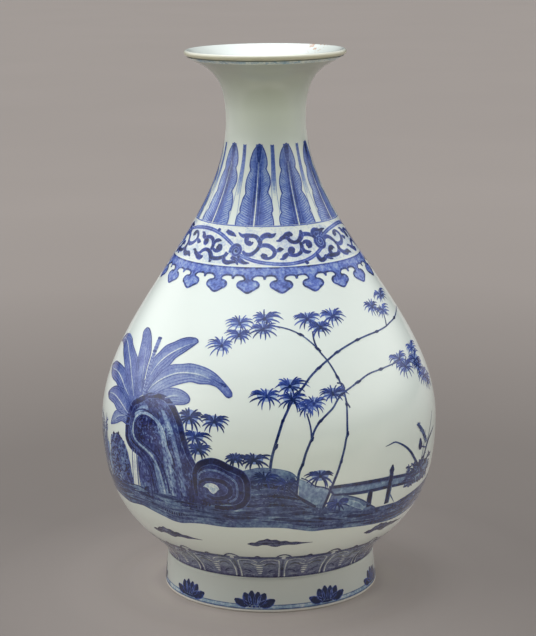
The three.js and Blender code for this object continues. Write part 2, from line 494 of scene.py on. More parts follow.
def porcelain_body():
    """The body's closed profile: outside up to the lip, over it, and down inside to the floor.

    Just under the lip the outside is drawn in a little, so that the lip stands out as a round bead.
    """
    outer = outer_outline(OUTLINE_STEPS)
    share = (outer[:, 1] - BELLY_HEIGHT) / (WAIST_HEIGHT - BELLY_HEIGHT)
    wall = np.interp(share, [0, 1], [BODY_WALL, NECK_WALL])
    lip_share = (outer[:, 1] - WAIST_HEIGHT) / (MOUTH_HEIGHT - WAIST_HEIGHT)
    wall = np.where(lip_share > 0, NECK_WALL + lip_share * (LIP_THICKNESS - NECK_WALL), wall)
    wall[-1] = LIP_THICKNESS
    floor = FOOT_HEIGHT + BASE_THICKNESS
    inner = inner_wall(outer, wall)
    inner = inner[inner[:, 1] > floor + FLOOR_FILLET][::-1]
    corner_top = inner[-1]
    corner = np.array([np.interp(floor, FINE_OUTLINE[:, 1], FINE_OUTLINE[:, 0]) - BODY_WALL, floor])
    fillet = bezier(corner_top, corner, corner, corner - (FLOOR_FILLET, 0), 12)[1:]
    floor_rings = np.stack([np.linspace(fillet[-1, 0], 0, 12)[1:], np.full(11, floor)], -1)
    base_rings = np.stack([np.linspace(0, FOOT_TOP_RADIUS, 16)[:-1], np.full(15, FOOT_HEIGHT)], -1)
    hollow = np.clip((outer[:, 1] - MOUTH_HEIGHT + LIP_HOLLOW_DEPTH) / LIP_HOLLOW_DEPTH / 0.6, 0, 1)
    outer[:, 0] -= LIP_HOLLOW * hollow**2 * (3 - 2 * hollow)
    outer = outer[np.linalg.norm(outer - LIP_CENTRE, axis=1) > LIP_ROUND + 0.05]
    start = np.degrees(np.arctan2(*(outer[-1] - LIP_CENTRE)[::-1]))
    lip = arc(LIP_CENTRE, LIP_ROUND, start, LIP_ANGLE + 90, 20)
    profile = np.vstack([base_rings, outer, lip[:-1], inner, fillet, floor_rings])
    profile[0, 0] = 0
    profile[-1, 0] = 0
    # Painted shade: the glaze is darker up the neck under the mouth and inside the mouth, and on the lip's
    # bead it is dark below and light on top; the lip's ivory is heavier on the bead's outer face, partly as
    # painted shade
    shade = np.interp(profile[:, 1], *OUTSIDE_SHADE)
    cream = np.zeros(len(profile))
    inside = len(base_rings) + len(outer) + len(lip) - 1
    rounding = slice(inside - len(lip) + 1, inside)
    turn = np.linspace(start, LIP_ANGLE + 90, len(lip))[:-1]
    shade[rounding] = np.interp(turn, *LIP_SHADE)
    cream[rounding] = np.interp(turn, *LIP_CREAM_AND_SHADE)
    shade[inside:] = np.interp(profile[inside:, 1], *INSIDE_SHADE)
    thing = turned("porcelain_body", profile, clear_glaze, shade=shade, cream=cream)
    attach(thing, "root")
    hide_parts("lower_body", "belly_slip", "upper_body", "neck_slip", "neck")
    return thing


def porcelain_foot():
    """The glazed foot ring: outside, a rounded crease under the base, and the recess wall."""
    inner_top = FOOT_TOP_RADIUS - FOOT_WALL_TOP
    inner_rim = FOOT_RADIUS - FOOT_WALL_RIM
    outer = np.linspace((FOOT_RADIUS, BARE_RIM_HEIGHT), (FOOT_TOP_RADIUS, FOOT_HEIGHT), 14)
    outer[:, 0] = radius_at(outer[:, 1])
    inner = np.linspace((inner_top, FOOT_HEIGHT), (inner_rim, BARE_RIM_HEIGHT), 14)
    profile = np.vstack([outer, inner])
    # Painted shade: the foot ring's glaze is darkened all round, under the belly
    thing = turned("porcelain_foot_ring", profile, clear_glaze, shade=np.full(len(profile), FOOT_SHADE))
    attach(thing, "root")
    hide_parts("foot_ring", "foot_slip")
    return thing


def bare_foot_rim():
    """The unglazed rim that the vase stands on: flat below, with two small rounds."""
    outer_edge = radius_at(BARE_RIM_HEIGHT)
    inner_edge = FOOT_RADIUS - FOOT_WALL_RIM
    outer_round = arc((FOOT_RADIUS - RIM_ROUND, RIM_ROUND), RIM_ROUND, -90, 0, 7)
    inner_round = arc((inner_edge + RIM_ROUND, RIM_ROUND), RIM_ROUND, 180, 270, 7)
    top = np.array([[outer_edge, BARE_RIM_HEIGHT], [inner_edge, BARE_RIM_HEIGHT]])
    profile = np.vstack([outer_round, top, inner_round])
    thing = turned("bare_foot_rim", profile, bare_biscuit)
    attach(thing, "root")
    return thing


porcelain_body()
porcelain_foot()
bare_foot_rim()


# Drawing on the glaze

# Heights of the paint over the glaze, and the spacing of its points, in millimetres
WASH, DETAIL, LINE, TOP = 0.035, 0.065, 0.095, 0.125
LAYERS = 50
LAYER_STEP = 0.0004
STEP = 1.5
WASH_STEP = 1.8


def through(points, step=STEP, count=None):
    """A smooth curve through points, by cubic pieces whose slopes come from their neighbours.

    It is sampled evenly by its length on the vase, about one sample for each step.
    """
    points = np.asarray(points, float)
    scale = np.radians(radius_at(points[:, 1]))
    gaps = np.hypot(np.diff(points[:, 0]) * (scale[1:] + scale[:-1]) / 2,
                    np.diff(points[:, 1]) * np.sqrt(1 + slope_at(points[1:, 1])**2))
    knots = np.concatenate([[0], np.cumsum(np.maximum(gaps, 1e-6))])
    if count is None:
        count = max(4, int(np.ceil(knots[-1] / step)) + 1)
    slopes = np.gradient(points, knots, axis=0)
    place = np.linspace(0, knots[-1], count)
    piece = np.clip(np.searchsorted(knots, place, side="right") - 1, 0, len(knots) - 2)
    width = (knots[piece + 1] - knots[piece])[:, None]
    s = (place - knots[piece])[:, None] / width
    return ((1 + 2 * s) * (1 - s)**2 * points[piece] + s * (1 - s)**2 * width * slopes[piece]
            + s * s * (3 - 2 * s) * points[piece + 1] + s * s * (s - 1) * width * slopes[piece + 1])


def sideways(path):
    """The unit step to the left of a path, measured on the vase, as degrees and millimetres."""
    scale = np.radians(radius_at(path[:, 1]))
    stretch = np.sqrt(1 + slope_at(path[:, 1])**2)
    ahead = np.gradient(path, axis=0)
    along = np.stack([ahead[:, 0] * scale, ahead[:, 1] * stretch], -1)
    along /= np.maximum(np.linalg.norm(along, axis=1), 1e-9)[:, None]
    return np.stack([-along[:, 1] / scale, along[:, 0] / stretch], -1)


def evenly(values, share):
    """Values set evenly from 0 to 1, read off at each share."""
    return np.interp(share, np.linspace(0, 1, np.size(values)), np.atleast_1d(values))


ACROSS = np.array([1.06, 0.74, 0.0, -0.74, -1.06])
EDGE_INK = np.array([0.45, 0.97, 1.0, 0.97, 0.45])
THIN_ACROSS = np.array([1.0, 0.0, -1.0])
THIN_INK = np.array([0.85, 1.0, 0.85])
TOUCH_WIDTHS = np.array([0.25, 1.0, 0.85, 0.15])


def in_order(points, column):
    """The points sorted by one of their two numbers."""
    return points[np.argsort(points[:, column], kind="stable")]


class Drawing:
    """Painted grids gathered into one mesh, each a little above the one before."""

    def __init__(self, name, material, slot="cobalt_drawing"):
        self.name, self.material, self.slot = name, material, slot
        self.points, self.normals, self.inks, self.faces, self.sheets = [], [], [], [], []
        self.size = 0
        self.count = 0
        self.move()

    def move(self, turn=0.0, mirror=1, flip_about=None, lower=0.0):
        """Sets where the next strokes go: turned, mirrored left to right, flipped or lowered."""
        self.turn, self.mirror, self.flip_about, self.lower = turn, mirror, flip_about, lower

    def placed(self, points):
        """The points after the present move."""
        points = np.array(points, float)
        points[..., 0] = self.turn + self.mirror * points[..., 0]
        if self.flip_about is not None:
            points[..., 1] = 2 * self.flip_about - points[..., 1]
        points[..., 1] -= self.lower
        return points

    def grids(self, angle, height, ink, lift):
        """Adds grids of angles and heights, as arrays of grid, row and column.

        A grid is turned over where its faces would point inwards.
        """
        number, rows, columns = angle.shape
        ink = np.broadcast_to(ink, angle.shape)
        layer = (self.count + np.arange(number)) % LAYERS
        self.count += number
        raised = np.broadcast_to(lift + LAYER_STEP * layer[:, None, None], angle.shape)
        points, normals = on_surface(angle, height, raised)
        one = grid_faces(rows, columns)
        flat_angle, flat_height = angle.reshape(number, -1), height.reshape(number, -1)
        corner_angle, corner_height = flat_angle[:, one], flat_height[:, one]
        area = (corner_angle * np.roll(corner_height, -1, -1)
                - np.roll(corner_angle, -1, -1) * corner_height).sum((1, 2))
        faces = np.where(area[:, None, None] < 0, one[None, :, ::-1], one[None])
        faces = faces + self.size + np.arange(number)[:, None, None] * rows * columns
        self.points.append(points.reshape(-1, 3))
        self.normals.append(normals.reshape(-1, 3))
        self.inks.append(ink.ravel())
        self.faces.append(faces.reshape(-1, 4))
        place = points.reshape(number, rows, columns, 3)
        tall = np.linalg.norm(np.diff(place, axis=1), axis=-1).sum(1).max(-1)
        wide = np.linalg.norm(np.diff(place, axis=2), axis=-1).sum(2).max(-1)
        self.sheets += [(rows, columns, t, w) for t, w in zip(tall, wide)]
        self.size += angle.size

    def grid(self, angle, height, ink, lift):
        """Adds one grid."""
        ink = np.broadcast_to(ink, angle.shape)
        self.grids(angle[None], height[None], ink[None], lift)

    def ribbon(self, path, half_width, across, ink, lift):
        """A grid carried along a path: each row is the path's point, moved left and right."""
        left = sideways(path)
        spread = half_width[:, None] * across[None, :]
        self.grid(path[:, :1] + spread * left[:, :1], path[:, 1:] + spread * left[:, 1:], ink, lift)

    def stroke(self, points, width, ink=0.85, lift=LINE, step=STEP, thin=False):
        """A brush line whose widths and inks are spread evenly along it, with paler edges."""
        path = through(self.placed(points), step)
        share = np.linspace(0, 1, len(path))
        widths = evenly(width, share)
        inks = evenly(ink, share)
        across, edge = (THIN_ACROSS, THIN_INK) if thin else (ACROSS, EDGE_INK)
        self.ribbon(path, widths / 2, across, inks[:, None] * edge, lift)

    def blot(self, angle, height, wide, tall, ink=0.85, lift=LINE):
        """A round or oval touch of the brush: rows across a circle, widest in the middle."""
        angle, height = self.placed((angle, height))
        turn = np.radians(np.linspace(-83, 83, 9))[:, None]
        scale = np.radians(radius_at(height))
        across = np.linspace(-1, 1, 5)[None, :]
        angles = angle + np.cos(turn) * across * wide / 2 / scale
        heights = height + np.sin(turn) * np.ones(5) * tall / 2
        self.grid(angles, heights, ink, lift)

    def patch(self, one, other, ink, lift=WASH, step=WASH_STEP):
        """A wash between two curves: straight rungs lead from one to the other."""
        one, other = self.placed(one), self.placed(other)
        rows = max(len(through(one, step)), len(through(other, step)), 4)
        first, second = through(one, count=rows), through(other, count=rows)
        gap = np.abs(first - second)
        wide = np.hypot(gap[:, 0] * np.radians(radius_at(first[:, 1])), gap[:, 1]).max()
        columns = max(3, int(wide / step) + 2)
        share = np.linspace(0, 1, columns)
        angle = first[:, :1] * (1 - share) + second[:, :1] * share
        height = first[:, 1:] * (1 - share) + second[:, 1:] * share
        inks = evenly(ink, share)
        self.grid(angle, height, inks, lift)

    def level_wash(self, left, right, ink, lift=WASH, step=WASH_STEP):
        """A wash between two edges given as angle at height: level rungs from left to right."""
        left, right = in_order(self.placed(left), 1), in_order(self.placed(right), 1)
        low, high = max(left[0, 1], right[0, 1]), min(left[-1, 1], right[-1, 1])
        height = np.linspace(low, high, max(4, int((high - low) / step) + 2))
        start = np.interp(height, left[:, 1], left[:, 0])
        end = np.interp(height, right[:, 1], right[:, 0])
        wide = (np.abs(end - start) * np.radians(radius_at(height))).max()
        share = np.linspace(0, 1, max(3, int(wide / step) + 2))
        angle = start[:, None] * (1 - share) + end[:, None] * share
        inks = evenly(ink, share)
        self.grid(angle, np.broadcast_to(height[:, None], angle.shape), inks, lift)

    def upright_wash(self, low, high, ink, lift=WASH, step=WASH_STEP):
        """A wash between two edges given as height at angle: upright rungs from low to high."""
        low, high = in_order(self.placed(low), 0), in_order(self.placed(high), 0)
        start, end = max(low[0, 0], high[0, 0]), min(low[-1, 0], high[-1, 0])
        scale = np.radians(radius_at(low[0, 1]))
        angle = np.linspace(start, end, max(3, int((end - start) * scale / step) + 2))
        bottom = np.interp(angle, low[:, 0], low[:, 1])
        top = np.interp(angle, high[:, 0], high[:, 1])
        share = np.linspace(0, 1, max(3, int(np.abs(top - bottom).max() / step) + 2))
        height = bottom[:, None] * (1 - share) + top[:, None] * share
        inks = evenly(ink, share)
        self.grid(np.broadcast_to(angle[:, None], height.shape), height, inks, lift)

    def ring(self, low, high, ink, lift=WASH, columns=181):
        """A level band all round the vase."""
        angle = np.linspace(-HALF_TURN, HALF_TURN, columns)
        height = np.linspace(low, high, max(3, int((high - low) / STEP) + 2))
        inks = evenly(ink, np.linspace(0, 1, len(height)))
        shape = (columns, len(height))
        self.grid(np.broadcast_to(angle[:, None], shape), np.broadcast_to(height, shape),
                  np.broadcast_to(inks, shape), lift)

    def touches(self, angle, height, length, width, lean, ink, lift=DETAIL):
        """Many short tapered touches at once: each is a straight lozenge that leans by an angle."""
        angle, height = self.placed(np.stack([angle, height], -1)).T
        along = np.linspace(-0.5, 0.5, 4)[None, :, None]
        across = THIN_ACROSS[None, None, :]
        half = np.asarray(width)[:, None, None] / 2 * TOUCH_WIDTHS[None, :, None]
        reach = np.asarray(length)[:, None, None] * along
        turn = np.radians(np.asarray(lean))[:, None, None]
        step_x = np.cos(turn) * reach - np.sin(turn) * half * across
        step_y = np.sin(turn) * reach + np.cos(turn) * half * across
        scale = np.radians(radius_at(height))[:, None, None]
        stretch = np.sqrt(1 + slope_at(height)**2)[:, None, None]
        inks = np.asarray(ink)[:, None, None] * THIN_INK[None, None, :]
        self.grids(angle[:, None, None] + step_x / scale, height[:, None, None] + step_y / stretch,
                   np.broadcast_to(inks, step_x.shape), lift)

    def finish(self):
        """Makes the mesh, with every grid unrolled into its own place on a sheet."""
        thing = make_mesh(self.name, np.vstack(self.points), np.vstack(self.faces),
                          np.vstack(self.normals), self.material,
                          [("ink", np.concatenate(self.inks))], unrolled(self.sheets))
        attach(thing, "root")
        return thing


def unrolled(sheets, margin=0.0003):
    """Places for all the grids' points on one square: shelves of rectangles, tallest first.

    Each grid takes its own length and width in metres, and a margin, so that all have one scale.
    """
    spans = np.array([(t, w) for _, _, t, w in sheets]) + 2 * margin
    tall, wide = spans.max(1), spans.min(1)
    side = max(np.sqrt((tall * wide).sum()) * 1.12, wide.max() * 1.01, tall.max() * 1.01)
    order = np.argsort(-wide, kind="stable")
    corners = np.zeros((len(sheets), 2))
    x = y = shelf = 0.0
    for index in order:
        if x + tall[index] > side:
            x, y, shelf = 0.0, y + shelf, 0.0
        corners[index] = x, y
        shelf = max(shelf, wide[index])
        x += tall[index]
    side = max(side, y + shelf)
    places = []
    for index, (rows, columns, t, w) in enumerate(sheets):
        down, over = np.meshgrid(np.linspace(0, t, rows), np.linspace(0, w, columns), indexing="ij")
        pair = (down, over) if t >= w else (over, down)
        places.append(np.stack(pair, -1).reshape(-1, 2) + corners[index] + margin)
    return np.vstack(places) / side


clear_cobalt = ink_material("clear_cobalt", COBALT, 0.22)
heaped_cobalt = ink_material("heaped_cobalt", COBALT, 0.42, 700.0, 260.0, 0.35)
curling_cobalt = ink_material("curling_cobalt", COBALT, 0.26, 900.0, 140.0, 0.6)
slate_cobalt = ink_material("slate_cobalt", SLATE_COBALT, 0.34, 800.0, 160.0, 0.5)
grey_cobalt = ink_material("grey_cobalt", GREY_COBALT, 0.30, 620.0, 130.0, 0.6)
ashen_cobalt = ink_material("ashen_cobalt", ASHEN_COBALT, 0.3, 800.0, 160.0, 0.4)
muted_cobalt = ink_material("muted_cobalt", TREE_COBALT, 0.24, 900.0, 120.0, 0.2)


# The band of upright plantain leaves round the neck

NECK_LEAF_PLACES = (-49.5, -10.5, 26.5, 65.0, 105.9, 146.8, 187.8, 228.7, 269.6)
NECK_LEAF_SHIFT = 0.8
NECK_LEAF_RIGHT = (
    ((0.7, 238.6), (4.5, 237.3), (7.5, 235.0), (9.5, 232.5), (10.5, 230.0), (10.5, 228.0), (9.0, 226.3)),
    ((9.0, 226.3), (11.0, 224.5), (13.0, 222.5), (13.8, 220.5), (13.5, 218.5), (12.0, 216.5), (10.5, 214.7)),
    ((10.5, 214.7), (12.5, 213.0), (14.0, 211.0), (14.7, 208.0), (14.5, 205.5), (13.5, 205.0)),
    ((13.5, 205.0), (14.8, 202.0), (14.9, 199.0)),
)
NECK_LEAF_LEFT = (
    ((0.7, 238.6), (-3.5, 237.0), (-7.0, 235.0), (-9.5, 232.0), (-10.5, 229.5), (-10.5, 227.5),
     (-9.0, 225.6)),
    ((-9.0, 225.6), (-11.0, 223.5), (-12.8, 220.5), (-13.0, 218.0), (-12.3, 215.5), (-11.5, 214.0)),
    ((-11.5, 214.0), (-13.5, 212.0), (-14.5, 209.0), (-14.8, 206.0), (-14.0, 205.0)),
    ((-14.0, 205.0), (-16.0, 203.5), (-16.5, 200.0), (-16.0, 198.9)),
)
LEAF_BAND_FOOT = 198.5


def neck_leaf_band():
    """Nine lobed leaves: a wash that darkens to the midrib, veins left white, and a dark outline.

    Between neighbours stands a narrow blade, dark at the top and fading downwards.
    """
    band = Drawing("neck_leaf_band", clear_cobalt)
    rng = np.random.default_rng(3)
    left = np.array([point for lobe in NECK_LEAF_LEFT for point in lobe])
    right = np.array([point for lobe in NECK_LEAF_RIGHT for point in lobe])
    for place in NECK_LEAF_PLACES:
        band.move(turn=place + NECK_LEAF_SHIFT)
        band.level_wash(left, right, (0.52, 0.55, 0.62, 0.76, 0.84, 0.76, 0.62, 0.55, 0.52), step=1.1)
        band.stroke(((0.5, 238.3), (0.3, 234.0), (0.4, 229.0)), (3.4, 3.0, 1.8), 0.86, DETAIL)
        for side in (-1, 1):
            band.stroke(((0.5 + 2.6 * side, 228.5), (2.4 * side, 215.0), (2.2 * side - 0.6, 199.4)),
                        (1.1, 1.6, 1.3), (0.80, 0.86, 0.78), DETAIL)
        edges = in_order(left, 1), in_order(right, 1)
        for side, edge in zip((-1, 1), edges):
            for level in np.arange(199.8, 227.5, 1.12):
                outer = np.interp(level, edge[:, 1], edge[:, 0])
                inner = side * rng.uniform(3.8, 5.6)
                strength = np.interp(level, (199, 212, 227), (0.26, 0.30, 0.44))
                band.stroke(((inner, level - rng.uniform(1.7, 2.3)),
                             ((inner + outer * 0.93) / 2, level - 0.9),
                             (outer * 0.93, level + rng.uniform(0.1, 0.7))),
                            (0.12, 0.36, 0.30), (0.6, strength, strength + 0.04), DETAIL, 1.2, True)
        for lobe in NECK_LEAF_LEFT + NECK_LEAF_RIGHT:
            band.stroke(lobe, (0.65, 0.58, 0.7), 0.80, LINE, 1.1)
        for angle, level in ((9.2, 226.4), (-9.2, 225.8), (10.8, 214.8), (-11.6, 214.2)):
            band.blot(angle, level, 0.9, 1.1, 0.78)
        band.stroke(((0.5, 229.5), (-0.1, 221.0), (-0.4, 210.0), (-0.9, LEAF_BAND_FOOT)),
                    (0.2, 0.36, 0.5, 0.66), (0.35, 0.2, 0.1, 0.06), TOP)
    places = np.array(NECK_LEAF_PLACES)
    for place in (places + np.append(places[1:], places[0] + WHOLE_TURN)) / 2:
        band.move(turn=place)
        band.stroke(((0.1, 238.0), (0.4, 230.0), (0.0, 222.0), (-0.3, 213.0)), (1.35, 1.6, 1.7, 1.3),
                    (0.74, 0.66, 0.48, 0.08), WASH)
        band.stroke(((-1.7, 238.2), (-1.7, 230.0), (-2.3, 222.0), (-2.9, 212.0), (-3.4, 199.0)),
                    (0.45, 0.42, 0.35, 0.3, 0.25), (0.7, 0.6, 0.5, 0.35, 0.3))
        band.stroke(((2.0, 238.2), (2.4, 230.0), (2.3, 222.0), (2.3, 213.0), (3.2, 207.0), (3.4, 199.0)),
                    (0.45, 0.42, 0.35, 0.3, 0.3, 0.3), (0.7, 0.6, 0.5, 0.4, 0.35))
    band.move()
    band.ring(198.35, 198.85, 0.6, LINE)
    band.finish()


# The scroll of curling stems under it

SCROLL_MIDDLE = 188.9
SCROLL_TURNS = (0, 60, 120, 180, 240, 296)
SCROLL_SHIFT = 0.5
SCROLL_LOWER = 0.4
TENDRIL_FULLNESS = 1.8
FLOWER_HEIGHT = 187.4
FLOWERS = ((-21.6, 3.1), (-20.4, 3.4))
SCROLL_TRAILERS = (
    (((33.2, 185.4), (33.4, 183.4), (35, 181.9), (37.4, 182.2), (39.8, 183.2), (42, 182.2), (44.4, 181.5)),
     (0.9, 1.5, 1.6, 1.2, 1.4, 1.0, 0.3)),
    (((31.5, 181.4), (34.5, 182.3), (37.5, 182.9), (40.4, 183.8)), (1.0, 1.5, 1.2, 0.3)),
)
SCROLL_STEM = ((-24.0, 186.4), (-19.0, 185.6), (-13.0, 184.0), (-7.0, 182.7), (0.0, 181.9), (8.0, 181.4),
               (17.0, 181.6), (24.0, 182.5), (30.0, 184.0), (34.0, 185.5), (38.0, 187.2), (40.6, 188.8))
SCROLL_TENDRILS = (
    (((-17, 187.5), (-15, 186), (-12, 185.8), (-9, 187), (-6.5, 189), (-5.5, 191), (-6.3, 193.3)),
     (0.8, 1.3, 1.3, 1.1, 1.1, 1.2, 1.5)),
    (((-22.3, 196), (-20, 194.8), (-17, 194.4), (-13, 194.6), (-9, 194.3), (-7, 193.3), (-5.6, 191.5)),
     (0.3, 0.9, 1.7, 1.4, 1.2, 1.3, 1.2)),
    (((-15.2, 194), (-15.4, 192.4), (-13.8, 190.9), (-11.5, 190.8), (-10.4, 191.8)),
     (1.4, 1.4, 1.3, 1.1, 0.4)),
    (((-6.2, 192), (-4.6, 193.5), (-2.4, 194.6), (0, 194.9), (2.5, 194.5), (6.2, 195.7)),
     (1.3, 1.4, 1.6, 1.7, 1.3, 0.3)),
    (((-6.3, 189.4), (-3.4, 190.2), (-0.4, 190.1), (2.6, 189), (4.4, 187.3), (3.6, 185.5), (1.5, 184.4),
      (-1.5, 184.2), (-3.4, 184.9), (-3.8, 185.9), (-2.2, 186.2)),
     (1.2, 1.2, 1.4, 1.3, 1.3, 1.2, 1.0, 0.9, 1.0, 1.1, 0.5)),
    (((4, 187.4), (6, 187.5), (8, 188.2), (10.6, 188.3)), (0.8, 1.0, 1.5, 0.3)),
    (((7.2, 183.7), (9.2, 183.8), (10.4, 184.7), (11.6, 185.4), (13.5, 186.2)), (0.3, 0.8, 1.5, 1.4, 0.9)),
    (((13.4, 185.6), (16.2, 185.2), (20, 185.5), (22.6, 187), (23.6, 189.2), (23.2, 191)),
     (0.9, 1.1, 1.1, 1.2, 1.2, 1.0)),
    (((15.2, 185.6), (14.5, 187), (15.2, 188.1), (16.9, 188.2), (17.9, 187.3)), (1.0, 1.2, 1.5, 1.4, 0.5)),
    (((5.8, 192.2), (8, 192.2), (9.8, 193.2), (12, 193.9), (14.5, 194.8), (17, 195), (18.4, 194.3)),
     (0.3, 0.9, 1.2, 1.3, 1.8, 1.7, 0.7)),
    (((12.5, 193.6), (14.4, 193.2), (15.8, 192), (18.6, 191.1), (22, 191.6), (24.2, 193), (25.6, 194.6),
      (25.4, 196.6)), (1.0, 1.2, 1.2, 1.1, 1.3, 1.5, 1.5, 0.7)),
    (((25, 194.2), (28, 194.6), (32, 194.2), (35, 193.2), (36.6, 191.4)), (1.4, 1.3, 1.3, 1.2, 1.2)),
    (((34.8, 193.4), (35.6, 195.3), (38, 196), (41, 195.6), (44.4, 195.8)), (1.0, 1.3, 1.4, 1.1, 0.3)),
    (((24.6, 190.2), (26.4, 191), (28.6, 191), (30.4, 190.2), (29.8, 188.8), (27.6, 188.5)),
     (0.7, 1.1, 1.3, 1.3, 1.3, 0.8)),
    (((23.8, 188.4), (24.6, 186.8), (26.6, 186.2), (29.6, 186.4)), (0.9, 1.3, 1.2, 0.3)),
    (((44.2, 191.6), (44.8, 193), (45.2, 194.4)), (1.3, 1.0, 0.3)),
    (((23.4, 182.4), (24.4, 181.4), (24.8, 180.7)), (0.9, 1.3, 0.8)),
    (((-24, 184.6), (-21.4, 183.4), (-18.6, 181)), (1.1, 1.6, 0.3)),
    (((-20, 184.2), (-17, 182.8), (-14.6, 182.1), (-11.6, 182)), (1.2, 1.6, 1.0, 0.3)),
)
SCROLL_EYES = ((-13.0, 191.3, 1.9, 1.8), (-1.9, 185.3, 2.2, 1.8), (16.2, 187.1, 2.4, 2.0),
               (28.3, 189.6, 2.0, 2.0),
               (8.4, 188.2, 1.5, 1.1), (-15.5, 194.4, 2.4, 1.5), (-5.4, 191.7, 1.9, 2.6))


def spiral(angle, height, outer, inner, start, turns, count):
    """A spiral about a point, from its outer to its inner size in millimetres."""
    share = np.linspace(0, 1, count)
    reach = outer + (inner - outer) * share
    turn = np.radians(start) + share * turns * 2 * np.pi
    scale = np.radians(radius_at(height))
    return np.stack([angle + reach * np.cos(turn) / scale, height + reach * np.sin(turn)], -1)


def scroll_band():
    """Six units of a waving stem; every second one is upside down, so the wave runs round.

    The unit left of the front is turned a little further, and its trailing leaf is short.
    """
    band = Drawing("scroll_band", curling_cobalt)
    band.ring(180.6, 197.6, (0.05, 0.07, 0.05), WASH - 0.01)
    for unit, turn in enumerate(SCROLL_TURNS):
        flip = SCROLL_MIDDLE if unit % 2 else None
        band.move(turn=turn + SCROLL_SHIFT, flip_about=flip, lower=SCROLL_LOWER)
        band.stroke(SCROLL_STEM, (1.8, 1.95, 2.05, 2.05, 2.05, 2.0, 1.9, 1.8), 0.78, WASH)
        band.stroke(SCROLL_STEM, 0.42, 0.56, DETAIL, thin=True)
        trailer = SCROLL_TRAILERS[1 if turn == SCROLL_TURNS[-1] else 0]
        for points, widths in SCROLL_TENDRILS + (trailer,):
            band.stroke(points, np.array(widths) * TENDRIL_FULLNESS, (0.84, 0.92, 0.93), DETAIL, 0.9)
        for angle, height, wide, tall in SCROLL_EYES:
            band.blot(angle, height, wide * 1.15, tall * 1.1, 0.92)
        centre, size = FLOWERS[unit % 2]
        band.blot(centre, FLOWER_HEIGHT, 2 * size, 2 * size, 0.34, WASH)
        band.stroke(spiral(centre, FLOWER_HEIGHT, size, 0.9, 200, -1.75, 34), (1.8, 1.9, 1.5, 1.2, 1.0, 0.9),
                    (0.78, 0.84, 0.8), LINE, 0.8)
        band.blot(centre, FLOWER_HEIGHT, 1.4, 1.5, 0.88)
    band.finish()


# The band of lobed cloud heads that hangs over the shoulder

HEAD_COUNT = 20
HEAD_START = 7.4
HEAD_TOP = 179.6
HEAD_OUTLINE = ((9.0, 174.2), (8.3, 175.6), (6.0, 176.0), (3.5, 175.7), (2.3, 174.9), (2.0, 174.0),
                (2.7, 173.5), (4.3, 173.2), (5.5, 172.5), (5.9, 171.6), (5.4, 170.7), (4.1, 170.0),
                (2.8, 169.3), (1.4, 168.5), (0.0, 168.1))
HEAD_NECK = ((2.1, 173.2), (2.1, 173.8), (2.3, 174.8), (3.5, 175.7), (6.0, 176.0))
HEAD_LOBES = ((0.6, 168.2), (1.4, 168.5), (2.8, 169.3), (4.1, 170.0), (5.4, 170.7), (5.9, 171.6),
              (5.5, 172.5),
              (4.3, 173.2), (2.1, 173.5))
HEAD_DROP = ((0.05, 174.0), (0.7, 175.5), (3.0, 176.0))


def cloud_head_band():
    """Twenty hanging heads: each is a stem that widens into two lobes and a blunt point."""
    band = Drawing("cloud_head_band", heaped_cobalt)
    mirrored = np.array((-1.0, 1.0))
    half_turn = WHOLE_TURN / HEAD_COUNT / 2
    band.ring(175.9, HEAD_TOP, (0.58, 0.56, 0.6), WASH)
    outline = np.array(HEAD_OUTLINE)
    whole = np.vstack([outline, outline[-2::-1] * mirrored])
    for index in range(HEAD_COUNT):
        band.move(turn=HEAD_START + 2 * half_turn * index)
        for edge in (HEAD_NECK, HEAD_LOBES):
            band.level_wash(np.array(edge) * mirrored, edge, 0.6, WASH, 0.9)
        band.stroke(whole, 1.1, 0.9, LINE, 0.7)
        band.blot(5.3, 172.0, 1.5, 1.2, 0.72, DETAIL)
        band.blot(-5.3, 172.0, 1.5, 1.2, 0.7, DETAIL)
        band.move(turn=HEAD_START + half_turn * (2 * index + 1))
        band.level_wash(np.array(HEAD_DROP) * mirrored, HEAD_DROP, 0.8, DETAIL, 0.8)
    band.move()
    band.ring(179.1, 179.75, 0.8, LINE)
    band.finish()


# The garden is mirrored round the back, after this turn in degrees
BACK_TURN = 182.0


# The garden: plantain tree

